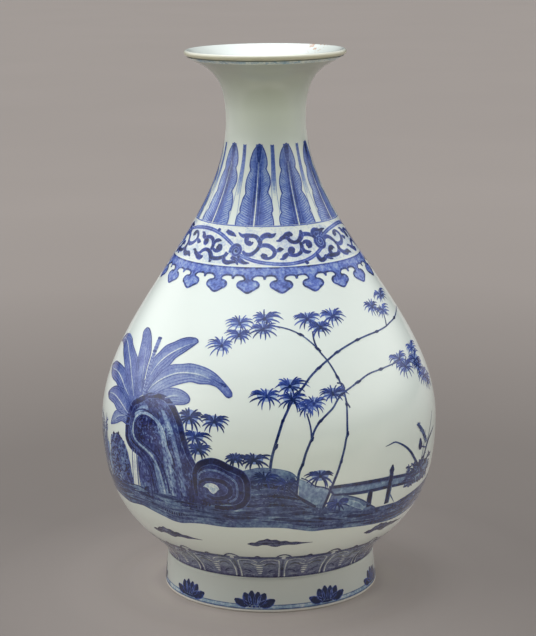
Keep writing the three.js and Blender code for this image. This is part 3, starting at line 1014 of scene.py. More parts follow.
TREE_LEAVES = (
    (((-53, 114), (-55, 125), (-58, 131.5), (-61, 133.5), (-64.5, 135.5), (-68, 137.2), (-71, 139),
      (-74, 139.6), (-79, 139.6), (-84, 137.5), (-88, 133.5)),
     ((-56, 112), (-62, 121.5), (-66, 125.8), (-70, 129), (-74, 131.5), (-78, 133.8), (-83, 134.5),
      (-88, 133.5)),
     ((-54, 115), (-56.5, 120), (-59.5, 124.5), (-63, 129), (-68, 133), (-74, 136.2), (-80, 137),
      (-86, 134.8))),
    (((-54, 113), (-60, 121.5), (-65, 125), (-69, 125.8), (-73, 126), (-78, 125.5), (-84, 122)),
     ((-56, 111), (-62, 114.5), (-67, 116.4), (-70, 117.5), (-74, 117.7), (-78, 118.5), (-84, 122)),
     ((-57, 114.5), (-60, 116.5), (-64, 119.5), (-68, 121.5), (-73, 122.3), (-78, 121.7), (-82, 121.6))),
    (((-54, 110), (-58, 115.5), (-64, 116.3), (-68, 115.8), (-71.5, 114), (-74, 111.8), (-75.5, 110)),
     ((-54, 104.5), (-60, 104.6), (-63.5, 105.4), (-67, 107.5), (-70, 107.7), (-74, 108.4), (-75.5, 110)),
     ((-55.5, 106), (-58.5, 108), (-62, 110), (-66, 111.3), (-70, 111.5), (-73, 110.8))),
    (((-54, 106), (-59, 106.5), (-62, 105.5), (-65, 103.5), (-66.8, 99.5), (-67.5, 96.5)),
     ((-53.5, 101), (-56, 100.5), (-59, 101), (-61.5, 99.3), (-65, 97.5), (-67.5, 96.5)),
     ((-57, 104.5), (-62, 102.3), (-65, 99))),
    (((-51.5, 118), (-54.5, 121), (-57, 125), (-58.4, 130.5), (-60, 136), (-62, 141.5), (-63.8, 144.8),
      (-62.4, 146.6), (-60.5, 146.6)),
     ((-50.5, 118), (-50.8, 124), (-51.5, 130), (-52.5, 137.5), (-54, 140.3), (-56, 143.3), (-59.2, 146),
      (-60.5, 146.6)),
     ((-51.2, 121), (-52.5, 127), (-54, 132), (-57, 139), (-59.5, 143.5))),
    (((-49, 120), (-49, 130), (-48.8, 135.5), (-47.5, 137.5), (-45.3, 141), (-41, 143.8), (-38, 145.7),
      (-33.5, 146.8), (-30.5, 146.3), (-29.8, 145.3)),
     ((-48, 118), (-45, 126), (-42.5, 130.5), (-40, 133.5), (-38.5, 136.5), (-35, 140), (-32, 143),
      (-29.8, 145.3)),
     ((-48, 127), (-46.5, 131.5), (-44, 135.5), (-41, 138.7), (-36, 142.3), (-31.5, 144.8))),
    (((-48.3, 118.5), (-46, 126), (-43, 130.4), (-39, 133.3), (-35, 134.2), (-31, 135.1), (-27, 134.7),
      (-23, 133.5), (-20, 131.7), (-17, 128.7), (-15, 126.3), (-13.5, 124), (-13, 122.3), (-14, 121.2)),
     ((-46.5, 117.5), (-44, 118.3), (-42, 119.5), (-38.5, 122.5), (-35, 124.7), (-32, 126.2), (-29, 127.2),
      (-26, 126.7), (-22, 126.9), (-19, 126), (-16.5, 123.5), (-14.8, 121.5), (-14, 121.2)),
     ((-47, 119), (-46.5, 120.5), (-44.5, 123.5), (-41, 127), (-38, 129), (-34, 130.6), (-30, 131),
      (-25, 130.5), (-21.5, 129.2))),
    (((-44, 118.5), (-38.5, 122.3), (-35.5, 123), (-32, 122.5), (-29.5, 121), (-28.3, 119.2),
      (-28.4, 117.7)),
     ((-42, 116), (-38, 115), (-35, 115.5), (-32, 116), (-29.5, 116.7), (-28.4, 117.7)),
     ((-38.5, 117.8), (-36, 119.3), (-33, 119.8))),
)
TREE_BUD = ((-50.2, 137.2), (-50.2, 144.6))
TREE_STEM = ((-48.6, 117.5), (-49.2, 124), (-49.9, 130), (-50.2, 137.4))
TREE_TRUNK = ((-52.0, 69.5), (-51.4, 78), (-50.9, 84), (-50.8, 88.8))


def between(one, other, share, count=12):
    """A curve that lies at a share of the way from one curve to another."""
    first, second = through(one, count=count), through(other, count=count)
    return first + (second - first) * share


def plantain_leaf(tree, upper, lower, rib, shade, pale):
    """One leaf: a wash between its two edges, brushed streaks along it, its edges and a white rib."""
    tree.patch(upper, lower, (shade + 0.05, shade, shade - 0.03, shade), WASH)
    for share, ink in ((0.16, 0.53), (0.3, 0.45), (0.68, 0.5), (0.84, 0.55)):
        streak = between(upper, lower, share)
        tree.stroke(streak[1:-1], (0.3, 0.55, 0.3), shade + (ink - 0.4) * 1.5, DETAIL, thin=True)
    tree.stroke(upper, (0.5, 0.6, 0.7), (shade + 0.2, shade + 0.3), LINE)
    tree.stroke(lower, (0.6, 0.7, 0.8), (shade + 0.2, shade + 0.3), LINE)
    rib = np.array(rib, float)
    beside = rib - (0.0, 0.75)
    tree.stroke(beside, (0.3, 0.45, 0.3), shade + 0.16, LINE, thin=True)
    tree.stroke(rib, (0.3, 0.58, 0.52, 0.22), (pale + 0.14, pale, pale + 0.05, pale + 0.22), TOP)


TREE_SHADES = (0.61, 0.59, 0.57, 0.5, 0.6, 0.55, 0.48, 0.5)
TREE_RIBS = (0.12, 0.12, 0.12, 0.25, 0.4, 0.14, 0.12, 0.22)


def plantain_tree(tree, rng):
    """The tree: its leaves from the hindmost forward, the jointed bud spike and the pale trunk."""
    for (upper, lower, rib), shade, pale in zip(TREE_LEAVES, TREE_SHADES, TREE_RIBS):
        plantain_leaf(tree, upper, lower, rib, shade, pale)
    tree.patch(((-21.5, 130.6), (-17, 128.4), (-15, 126), (-13.6, 124), (-13.2, 122.3), (-14, 121.4)),
               ((-21.5, 127.2), (-19, 125.9), (-16.4, 123.6), (-14.8, 121.7), (-14, 121.4)),
               (0.68, 0.58, 0.66), DETAIL)
    tree.patch(((-58, 112), (-57, 117), (-54, 121), (-50, 124), (-47, 121)),
               ((-56, 104), (-54, 110), (-52, 114), (-49, 117), (-46, 117)), 0.72)
    tree.patch(((-23, 131.4), (-20, 129.4), (-17.5, 127)), ((-22, 128.4), (-19.5, 127.4), (-16, 126.4)),
               (0.62, 0.75), DETAIL)
    tree.stroke(((-22.5, 130.6), (-19, 128.3), (-15.6, 126.4)), (0.5, 0.9, 1.9), (0.6, 0.8, 0.95))
    tree.stroke(((-21, 128), (-18, 126.6), (-15.2, 126.2)), (0.3, 0.5, 0.8), (0.6, 0.75, 0.9))
    tree.blot(-74.2, 109.9, 4.0, 2.6, 0.84)
    tree.stroke(((-72, 139.3), (-77, 139.4), (-82, 137.8)), (0.8, 2.2, 0.8), 0.66)
    stem = np.array(TREE_STEM)
    tree.stroke(stem, (2.3, 2.5, 2.2), 0.5, DETAIL)
    for level in np.arange(118.6, 136.6, 1.75):
        middle = np.interp(level, stem[:, 1], stem[:, 0])
        tree.stroke(((middle - 1.0, level + 0.5), (middle, level - 0.2), (middle + 1.0, level + 0.5)),
                    (0.5, 0.9, 0.5), 0.74, LINE, 0.6)
    tree.stroke(TREE_BUD, (2.9, 3.0, 2.7), 0.55, DETAIL)
    for level, ink in ((137.8, 0.85), (139.6, 0.7), (141.2, 0.6), (142.6, 0.55), (143.9, 0.82)):
        tree.blot(-50.2, level, 3.3, 1.35, ink)
    tree.patch(((-53.1, 69.5), (-52.3, 78), (-51.8, 88.9)), ((-50.4, 69.5), (-49.9, 78), (-49.6, 88.9)),
               0.03, DETAIL)
    tree.stroke(((-53.2, 69.5), (-52.4, 78), (-51.8, 88.9)), 0.6, 0.8)
    tree.stroke(((-50.3, 69.5), (-49.8, 78), (-49.5, 88.9)), 0.7, 0.82)
    tree.stroke(TREE_TRUNK, 0.25, 0.3, TOP, thin=True)


# The garden: rocks

TALL_ROCK_LEFT = ((-44.0, 64), (-43.5, 74), (-44, 80), (-46, 84.5), (-48, 87), (-50.5, 88.5), (-53, 90.5),
                  (-54.8, 94), (-55, 98), (-54.8, 103), (-54.3, 108), (-53, 112), (-50.5, 114),
                  (-48.5, 115.5), (-46, 117.6), (-42, 118.5))
TALL_ROCK_RIGHT = ((-26.5, 64), (-25.6, 70), (-24.6, 80), (-25.3, 87), (-27, 91.5), (-28.5, 97),
                   (-29.8, 102),
                   (-31, 107), (-33, 111.5), (-35.5, 115.5), (-38, 117.8), (-42, 118.5))
TALL_ROCK_LOOP = ((-51.6, 101.5), (-51, 105), (-49, 107.8), (-46.5, 108.9), (-43, 108.2), (-40, 106),
                  (-37.6, 102.5), (-36.4, 98.5), (-35.5, 94), (-34, 90), (-33.4, 86))
TALL_ROCK_FOLD = ((-51.6, 101.5), (-51.4, 98), (-50.4, 95), (-48, 92.8), (-45, 91), (-42.4, 88.8),
                  (-40.3, 85), (-38.9, 80), (-37.9, 74), (-37.7, 69))
TALL_ROCK_EDGE = ((-40.5, 114.5), (-37.5, 112.8), (-35, 109.5), (-32.6, 104), (-31.2, 98.5), (-30.2, 92),
                  (-29, 86), (-28.2, 79), (-28.2, 69))
SMALL_ROCK_RIM = ((-25, 71), (-25.2, 78), (-25, 84), (-23.6, 87.6), (-21.5, 89.4), (-19, 90.2),
                  (-16.4, 89.4),
                  (-13.5, 87.3), (-11, 85.8), (-9, 84), (-7.9, 81), (-7.6, 76), (-8, 71), (-9.6, 68),
                  (-12, 66.4), (-15.5, 65.6), (-19, 66.2))
SMALL_ROCK_RING = ((-23.6, 78.6), (-21.6, 80.4), (-18.4, 80.6), (-15, 79.4), (-13.2, 76.6), (-13.6, 73.2),
                   (-16, 71.2), (-19, 70.8), (-21.2, 72.2))
SMALL_ROCK_HOLE = (((-22.4, 76.6), (-21.4, 78.2), (-19.4, 78.7), (-17.6, 77.6), (-16.9, 75.9)),
                   ((-22.4, 76.6), (-20.8, 75.9), (-20.2, 74.4), (-19.2, 73.2), (-16.9, 75.9)))


def scattered(rng, left, right, count):
    """Random places in a shape given by its left and right edges, as angles and heights."""
    left, right = in_order(np.array(left, float), 1), in_order(np.array(right, float), 1)
    low, high = max(left[0, 1], right[0, 1]), min(left[-1, 1], right[-1, 1])
    heights = rng.uniform(low, high, count)
    start = np.interp(heights, left[:, 1], left[:, 0])
    end = np.interp(heights, right[:, 1], right[:, 0])
    return start + rng.uniform(0.03, 0.97, count) * (end - start), heights


def dab(drawing, rng, places, length, width, lean, ink, lift=DETAIL):
    """Touches at places: their leans have a mean and a spread, the rest are drawn from ranges."""
    count = len(places[0])
    drawing.touches(*places, rng.uniform(*length, count), rng.uniform(*width, count),
                    rng.normal(*lean, count), rng.uniform(*ink, count), lift)


def tall_rock(rocks, rng):
    """The hooked rock: a dark wash, its broad outline, pale streams that follow its folds, and dabs."""
    rocks.level_wash(TALL_ROCK_LEFT, TALL_ROCK_RIGHT, (0.8, 0.77, 0.74, 0.78, 0.84), WASH)
    rocks.patch(((-28, 63.4), (-27.5, 77)), ((-22.4, 63.4), (-23, 77)), 0.84, WASH - 0.004)
    angle, height = scattered(rng, TALL_ROCK_LEFT, TALL_ROCK_RIGHT, 620)
    lean = np.where(height > 100, rng.normal(-45, 26, 620), rng.normal(-74, 14, 620))
    rocks.touches(angle, height, rng.uniform(1.2, 3.8, 620), rng.uniform(0.6, 1.3, 620), lean,
                  rng.uniform(0.56, 0.98, 620), DETAIL)
    for one, other, inks in (
            (((-51.6, 108.4), (-49, 111.8), (-46, 113.2)), ((-51.2, 106.0), (-48, 109.4), (-44.5, 110.8)),
             (0.5, 0.34, 0.5)),
            (((-40.2, 107.2), (-37.0, 101.6), (-35.3, 96), (-34.2, 90), (-33.4, 84), (-32.9, 76),
              (-32.9, 69)),
             ((-41.4, 107.2), (-39.0, 101.2), (-37.6, 95), (-37.1, 89), (-36.9, 82), (-37.1, 75),
              (-37.3, 69)),
             (0.5, 0.3, 0.34, 0.34, 0.52)),
            (((-37.6, 112.2), (-34.4, 106), (-32.0, 98), (-30.4, 89), (-29.3, 79), (-28.6, 70)),
             ((-39.2, 112.2), (-36.4, 105.4), (-33.9, 97.4), (-32.0, 88.4), (-30.9, 78.6), (-30.4, 70)),
             (0.52, 0.36, 0.38, 0.52)),
            (((-39.6, 83), (-38.4, 76), (-37.9, 69)), ((-41.4, 85), (-40.6, 77), (-40.2, 69)),
             (0.5, 0.38, 0.5))):
        rocks.patch(one, other, inks, LINE - 0.012)
    left = np.array(((-41.2, 107), (-37.4, 93), (-37.2, 80), (-37.4, 70)))
    right = np.array(((-36.6, 107), (-31.6, 93), (-29.4, 80), (-28.8, 70)))
    dab(rocks, rng, scattered(rng, left, right, 150), (1.6, 4.2), (0.4, 0.9), (-77, 7), (0.46, 0.82), LINE)
    inner_left = np.array(((-50, 95.5), (-50, 102), (-48, 106), (-46, 107.4)))
    inner_right = np.array(((-38.4, 90), (-37.8, 97), (-39, 102), (-43, 107.4)))
    rocks.level_wash(inner_left, inner_right, (0.92, 0.84, 0.78), LINE - 0.01)
    angle, height = scattered(rng, inner_left, inner_right, 150)
    rocks.touches(angle, height, rng.uniform(0.8, 2.0, 150), rng.uniform(0.5, 1.0, 150),
                  rng.normal(-40, 40, 150), rng.choice((0.58, 0.98), 150), LINE)
    loop, fold, edge = (np.array(line, float) for line in (TALL_ROCK_LOOP, TALL_ROCK_FOLD, TALL_ROCK_EDGE))
    for line, shift, widths, ink in (
            (loop[:7], (-1.2, 1.6), (0.6, 0.9, 1.6), 0.88), (loop, (0.9, -1.2), (0.7, 1.2, 1.5), 0.9),
            (loop, (0.0, 0.0), (0.8, 1.3, 1.6, 0.9), 0.3), (fold, (2.0, 0.9), (0.8, 1.5, 1.5), 0.9),
            (fold, (-2.0, -0.9), (0.8, 2.2, 2.2), 0.94), (fold, (0.0, 0.0), (0.8, 1.2, 1.1), 0.3),
            (edge, (-2.6, -0.6), (0.5, 1.4, 1.9, 1.4), 0.92)):
        rocks.stroke(line + shift, widths, ink, TOP if ink < 0.5 else LINE)
    for points, width in ((((-43.5, 84), (-42.6, 76), (-42.2, 69)), 1.9), (((-39.3, 80), (-38.8, 69)), 0.9),
                          (((-35.2, 84), (-34.8, 69)), 0.7)):
        rocks.stroke(points, (0.4, width, width * 0.8), 0.9)
    rocks.stroke(TALL_ROCK_LEFT[3:], (1.6, 3.0, 3.6, 3.4, 3.0), 0.93, LINE)
    rocks.stroke(TALL_ROCK_RIGHT[:0:-1], (2.6, 3.4, 3.6, 3.4, 2.9, 1.8, 0.5), (0.92, 0.93, 0.92, 0.8), LINE)
    rocks.stroke(TALL_ROCK_LEFT[:4], 1.3, 0.82, LINE)


def small_rock(rocks, rng):
    """The pierced rock: a broad dark rim round a slate ring, with a dark inner ring about a white hole."""
    middle = np.array((-18.0, 76.5))
    rim = np.array(SMALL_ROCK_RIM + ((-23, 66.5), (-25, 71)))
    rocks.patch(rim, np.broadcast_to(middle, rim.shape) + (rim - middle) * 0.02,
                (0.92, 0.84, 0.74, 0.68, 0.68), WASH)
    angle = middle[0] + rng.normal(0, 7.5, 260)
    height = middle[1] + rng.normal(0, 8.0, 260)
    away = np.hypot((angle - middle[0]) / 8.6, (height - middle[1]) / 11.6)
    keep = (away < 0.98) & (away > 0.42)
    turn = np.degrees(np.arctan2(height - middle[1], angle - middle[0])) + 90
    rocks.touches(angle[keep], height[keep], rng.uniform(0.8, 2.2, 260)[keep],
                  rng.uniform(0.5, 0.9, 260)[keep],
                  (turn + rng.normal(0, 30, 260))[keep], rng.uniform(0.66, 0.98, 260)[keep], DETAIL)
    rocks.stroke(((-24.4, 79), (-23.6, 83), (-20.8, 85.4), (-17.5, 85.4), (-13.8, 83), (-11.4, 80),
                  (-10.9, 75.5), (-11.6, 71.2), (-14, 69.2)), (0.7, 0.9, 0.9), 0.54, LINE)
    rocks.patch(((-17.4, 78.6), (-14.6, 77.4), (-13.6, 75)), ((-17, 72.2), (-15.2, 72), (-14, 73.6)), 0.78,
                DETAIL)
    rocks.patch(((-25.4, 79), (-24, 77.6), (-22.4, 75.4)), ((-25.4, 66), (-23, 66.2), (-20.4, 70.6)), 0.84,
                DETAIL)
    rocks.stroke(SMALL_ROCK_RING, (1.6, 2.2, 2.8, 3.0, 2.6, 2.0), 0.98)
    rocks.stroke(SMALL_ROCK_RIM, (2.0, 3.1, 3.6, 3.6, 3.5, 3.2, 2.6), 1.0)
    rocks.patch(*SMALL_ROCK_HOLE, 0.06, TOP, 1.0)


def bushes(rocks, rng):
    """Dotted foliage: a pale slate wash under many short leaning touches."""
    left = ((-71, 64), (-70, 70), (-69, 78), (-68.5, 85), (-68, 90), (-65, 93), (-61, 94.2))
    right = ((-53, 64), (-53.2, 72), (-53.6, 80), (-54.6, 86), (-56, 89.5), (-58.5, 92.6), (-61, 94.2))
    rocks.level_wash(left, right, (0.36, 0.42, 0.5, 0.54), WASH)
    rocks.patch(((-76, 88), (-74, 78), (-71, 68)), ((-70, 86), (-68, 76), (-65, 67)), (0.3, 0.34, 0.4), WASH)
    dab(rocks, rng, scattered(rng, left, right, 330), (1.2, 2.6), (0.8, 1.5), (40, 28), (0.68, 0.98))
    left = ((-49.4, 64), (-49.4, 76), (-49.2, 86), (-48.5, 87.5))
    right = ((-43.5, 64), (-43.5, 76), (-44.5, 83), (-48.5, 87.5))
    rocks.level_wash(left, right, (0.6, 0.54), WASH)
    dab(rocks, rng, scattered(rng, left, right, 80), (1.2, 2.6), (0.6, 1.1), (70, 30), (0.6, 0.95))
    for start, reach, top in ((-71, -73, 100.5), (-73.5, -76, 99), (-76, -79, 101), (-79, -82.5, 97),
                              (-74.5, -72, 92), (-78, -84, 94)):
        rocks.stroke(((start, 66), ((start + reach) / 2 - 0.6, 82), (reach, top)), (1.2, 2.6, 2.4, 0.4),
                     (0.6, 0.78, 0.72), DETAIL)
    places = rng.uniform(-84, -71, 150), rng.uniform(66, 98, 150)
    dab(rocks, rng, places, (1.6, 3.4), (0.6, 1.1), (62, 20), (0.5, 0.9))


# The garden: bamboo

BAMBOO_CULMS = (
    (((-0.1, 86.0), (0.6, 93), (1.6, 98.5), (3, 105), (4.3, 110.5), (5.5, 114), (7, 118), (9.5, 122.5),
      (12, 126),
      (15, 130.3), (18.5, 133.8), (22.5, 136.9), (27.5, 140.1), (33.5, 142.6), (38.5, 144.1), (45, 145.2),
      (51, 145.7), (58, 146.4), (64, 147.4), (70.5, 148.2), (78, 149.6), (86, 150.6)),
     ((2, 98), (4.3, 110.6), (18.5, 133.8), (27.5, 140.1), (38.5, 144.1), (51, 145.7), (70.5, 148.2))),
    (((8.3, 72.0), (8.8, 80), (9.3, 85), (10.3, 88.5), (11.5, 94.5), (12.8, 99), (13.4, 101), (14.5, 105),
      (16.5, 109), (19, 112), (22, 115.5), (23.2, 117.7), (25.5, 120.8), (29, 123), (33, 125.3), (38, 127.8),
      (45, 128.9), (50, 129.4), (56, 129.8)),
     ((10.3, 88.3), (13.5, 100.6), (16.8, 109.4), (25.6, 120.8), (33, 125.3), (45, 128.9))),
    (((17.5, 63.5), (18.5, 68), (20, 74.5), (21, 78.5), (22.5, 84.5), (23.3, 88.5), (24.4, 94), (25.2, 99),
      (25.7, 101.5), (26.1, 107), (26.5, 112), (26.8, 116), (26.8, 119), (26.3, 124), (25.3, 128.5),
      (24, 133),
      (22.3, 137.3), (20.5, 140.5), (19.5, 142.5), (17, 145.9), (13.5, 149.3), (10, 151.4), (6, 152.9),
      (3.3, 153.5), (0, 153.8)),
     ((20, 74.7), (23.3, 88), (25.9, 101.5), (26.8, 116), (25.2, 128.8), (19.6, 142.4), (13.4, 149.4))),
)
BAMBOO_TWIGS = (
    ((13.4, 101), (13.4, 105), (12.9, 110), (12.3, 113.5)),
    ((19.3, 143), (18.7, 146), (18.8, 150.5)),
    ((59.5, 146.5), (61, 149), (62.5, 152)),
    ((26.7, 117), (27.6, 115), (27.9, 114)),
    ((25.5, 120.8), (27, 123), (26.5, 125.6), (24.5, 126.2)),
)


def bamboo_culms(culms, rng):
    """Three leaning culms, thicker at their joints, and their twigs."""
    for points, joints in BAMBOO_CULMS:
        culms.stroke(points, (1.5, 1.28, 1.08, 0.92, 0.8, 0.72), (0.84, 0.79, 0.75, 0.72, 0.7, 0.68), DETAIL)
        path = np.array(points)
        for angle, height in joints:
            nearest = np.clip(np.argmin(np.hypot(path[:, 0] - angle, path[:, 1] - height)), 1, len(path) - 2)
            ahead = (path[nearest + 1] - path[nearest - 1]) * (1.0, 0.65)
            ahead /= np.linalg.norm(ahead)
            culms.stroke(((angle, height) - ahead * 1.6, (angle, height), (angle, height) + ahead * 1.6),
                         (0.6, 1.7, 0.7), 0.86, LINE, 0.6)
    for points in BAMBOO_TWIGS:
        culms.stroke(points, (0.95, 0.8), (0.84, 0.78), DETAIL)


BAMBOO_SPRAYS = (
    (-1.9, 157.3, -7.4, 6.1, 154.4, 161.4, 0.8), (-2.4, 152.6, -8.4, 4.1, 147.4, 156.2, 0.81),
    (-12.9, 155, -19.9, -6.4, 151, 158.9, 0.76), (-12.4, 149.8, -18.9, -6.9, 145.1, 152.6, 0.8),
    (-19.1, 144.8, -25.9, -14.4, 139, 148.6, 0.76), (17.5, 156.5, 10.5, 23.5, 151.4, 160.1, 0.81),
    (22.5, 152.3, 17, 28.2, 147.2, 155.6, 0.81), (30, 156.5, 23.5, 36.5, 151.4, 160.6, 0.81),
    (56.3, 157, 49.8, 61.8, 152.1, 160.6, 0.8), (63.3, 153.8, 57.3, 71.3, 150.1, 156.6, 0.8),
    (70.8, 160, 61.3, 79.8, 156.6, 163.4, 0.78), (-1, 122.4, -7.5, 3.9, 116.2, 126.2, 0.85),
    (7.1, 126.8, 2.1, 14.1, 121.2, 131.4, 0.85), (7.5, 120.8, 2.5, 12.5, 114.6, 124.4, 0.87),
    (12.4, 116.8, 8.5, 16, 111.6, 120.4, 0.8), (15, 118, 10, 19.6, 112, 121.9, 0.8),
    (22.2, 121.8, 16.6, 28, 117.1, 125.9, 0.8), (57.5, 131, 51, 64, 126.1, 134.8, 0.8),
    (60, 126.5, 53.5, 67.5, 121.1, 130.9, 0.85), (70, 127.2, 63, 79, 122.1, 131.4, 0.78),
    (72, 132.6, 66, 80, 129.1, 135.9, 0.76), (73.5, 118, 67, 81, 112.6, 122.4, 0.82),
    (71.2, 123.2, 66, 77, 118.1, 126.9, 0.82), (77, 114.5, 72, 83, 109.1, 118.4, 0.78),
    (-27.5, 110.5, -32.5, -21.5, 102.1, 115, 0.94), (-18.5, 109.8, -23.5, -13, 104, 113.6, 0.94),
    (-25, 101.4, -29.5, -19.3, 95.6, 105, 0.96), (-23.7, 95.4, -28.5, -18.8, 89.2, 99.4, 0.98),
    (-11.2, 92.2, -14.6, -6.6, 86.8, 95.4, 0.98), (-5.2, 91.8, -9.4, 0.4, 86.4, 95.6, 0.98),
    (-2, 82.2, -6, 3.2, 76.6, 86, 0.94), (5.2, 79, 1.4, 9, 74.1, 82.9, 0.94),
    (16.1, 82.2, 11, 20.8, 75.2, 85.4, 0.98), (22.6, 66, 18.4, 28, 61.2, 69, 0.96),
)


SPRAY_TURNS = (188, 170, 152, 134, 114, 90, 64, 44, 26, 8, -12, -34, -56, -78, -102, -126, -150)


def leaf_sprays(leaves, rng):
    """Sprays of pointed leaves: each leaf arches from the spray's middle and droops at its tip.

    A leaf's path is its straight reach plus a bow that is highest at the middle; its half width
    grows as the square root of the way along it and dies out towards the tip.
    """
    way = np.linspace(0, 1, 10)
    arch = 4 * way * (1 - way)
    for angle, height, left, right, low, high, ink in BAMBOO_SPRAYS:
        scale = np.radians(radius_at(height))
        turns = np.radians(np.array(SPRAY_TURNS) + rng.normal(0, 4, len(SPRAY_TURNS)))
        reach = rng.uniform(0.86, 1.14, len(turns))
        across = np.where(np.cos(turns) > 0, right - angle, angle - left) * scale
        up = np.where(np.sin(turns) > 0, high - height, height - low)
        end_x, end_y = np.cos(turns) * across * reach, np.sin(turns) * up * reach
        length = np.hypot(end_x, end_y)
        bow = np.where(np.sin(turns) > -0.3, 0.17, 0.06) * length
        bulge = np.where(np.sin(turns) > -0.3, 0.05, 0.12) * length * np.sign(np.cos(turns))
        path_x = end_x[:, None] * way + bulge[:, None] * arch
        path_y = end_y[:, None] * way + bow[:, None] * arch
        ahead_x, ahead_y = np.gradient(path_x, axis=1), np.gradient(path_y, axis=1)
        ahead = np.maximum(np.hypot(ahead_x, ahead_y), 1e-9)
        fullness = 1.1 * ink**1.6 * rng.uniform(0.62, 0.82, len(turns))[:, None]
        half = fullness * way**0.45 * (1 - way)**0.62 * 1.42
        grid_x = path_x[..., None] - (ahead_y / ahead * half)[..., None] * THIN_ACROSS
        grid_y = path_y[..., None] + (ahead_x / ahead * half)[..., None] * THIN_ACROSS
        shade = ink + rng.normal(0, 0.06, (len(turns), 1, 1)) + 0.14 * (1 - way)[None, :, None]
        inks = np.clip(shade, 0.3, 1.0) * np.array([0.84, 1.0, 0.84])
        place = leaves.placed(np.stack([angle + grid_x / scale, height + grid_y], -1))
        leaves.grids(place[..., 0], place[..., 1], inks, DETAIL)
        wide, tall = (right - left) * scale, high - low
        leaves.blot(angle, height + 0.04 * tall, 0.6 * wide, 0.56 * tall, ink * 0.45, WASH)
        leaves.blot(angle, height, 1.6, 1.8, min(1.0, ink + 0.14), LINE)
        leaves.blot(angle + 0.9, height - 1.6, 1.1, 1.2, min(1.0, ink + 0.1), LINE)


# The garden: ground, mounds and stones

GROUND_LOW = ((-180, 52.0), (-150, 54.5), (-120, 51.5), (-90, 55.5), (-70, 57), (-60, 56), (-50, 57.5),
              (-45, 56.2),
              (-40, 54.6), (-36, 53.2), (-33, 53), (-29, 54), (-25, 54.5), (-15, 54), (-5, 54.5), (0, 54.5),
              (5, 54), (10, 52.5), (15, 51), (20, 51), (30, 50), (37, 49), (45, 48), (52, 47.2), (60, 47.5),
              (75, 49.5), (90, 52.5), (120, 51), (150, 54), (180, 52.0))
GROUND_HIGH = ((-180, 63), (-150, 66), (-120, 63), (-90, 65), (-70, 66), (-60, 68), (-50, 69), (-40, 68.5),
               (-30, 67.6), (-22, 67.0), (-15, 66.6), (-8, 66.4), (0, 66), (8, 66.4), (13, 67), (17, 65.8),
               (20, 64), (25, 61.6), (32, 60), (38, 59), (50, 58.2), (60, 60), (75, 62), (90, 64), (120, 63),
               (150, 66), (180, 63))


def ground(soil, rng):
    """The ground all round: a mottled slate wash under short touches and long dark and pale streaks."""
    soil.upright_wash(GROUND_LOW, GROUND_HIGH, (0.46, 0.54, 0.61, 0.68, 0.73), WASH - 0.006)
    low, high = np.array(GROUND_LOW, float), np.array(GROUND_HIGH, float)
    for count, length, width, inks, place in ((460, (3.0, 7.0), (0.9, 1.8), (0.56, 0.78), (1.3, 1.2)),
                                              (240, (2.5, 7.0), (0.9, 1.9), (0.76, 0.92), (2.0, 1.3)),
                                              (130, (2.0, 5.0), (0.7, 1.3), (0.4, 0.52), (1.2, 1.6))):
        angle = rng.uniform(-180, 180, count)
        bottom = np.interp(angle, low[:, 0], low[:, 1]) + 0.7
        top = np.interp(angle, high[:, 0], high[:, 1]) - 0.6
        slope = np.interp(angle + 3, low[:, 0], low[:, 1]) - np.interp(angle - 3, low[:, 0], low[:, 1])
        height = bottom + (top - bottom) * rng.beta(*place, count)
        soil.touches(angle, height, rng.uniform(*length, count), rng.uniform(*width, count),
                     np.degrees(np.arctan(slope / 9)) + rng.normal(-2, 7, count), rng.uniform(*inks, count),
                     DETAIL)
    for middle, reach, place, width, ink in zip(
            rng.uniform(-165, 165, 170), rng.uniform(4, 9, 170), rng.beta(1.4, 1.4, 170),
            rng.uniform(1.2, 3.2, 170), rng.choice((0.91, 0.86, 0.8, 0.7, 0.5), 170)):
        angle = middle + np.linspace(-reach, reach, 5)
        bottom, top = np.interp(angle, low[:, 0], low[:, 1]), np.interp(angle, high[:, 0], high[:, 1])
        line = np.stack([angle, bottom + 1.2 + (top - bottom - 2.4) * place], -1)
        soil.stroke(line, (0.2, width, width * 0.8, 0.2), ink, LINE - 0.01)
    soil.stroke(low[(low[:, 0] > -180) & (low[:, 0] < 180)] + (0, 0.4), 1.1, (0.5, 0.7, 0.52, 0.7, 0.5),
                DETAIL)
    for turn, mirror in ((0.0, 1), (BACK_TURN, -1)):
        soil.move(turn=turn, mirror=mirror)
        angle = rng.uniform(-74, -45, 90)
        height = np.interp(angle, (-74, -60, -45), (66.2, 68.4, 69.4)) - rng.uniform(0, 3.2, 90)
        dab(soil, rng, (angle, height), (2.5, 6.0), (0.7, 1.5), (4, 9), (0.78, 0.94))
        soil.stroke(((-70, 62.4), (-60, 61.8), (-50, 62.2), (-42, 60.6)), (0.6, 1.8, 1.6, 0.5), 0.42, DETAIL)
    soil.move()


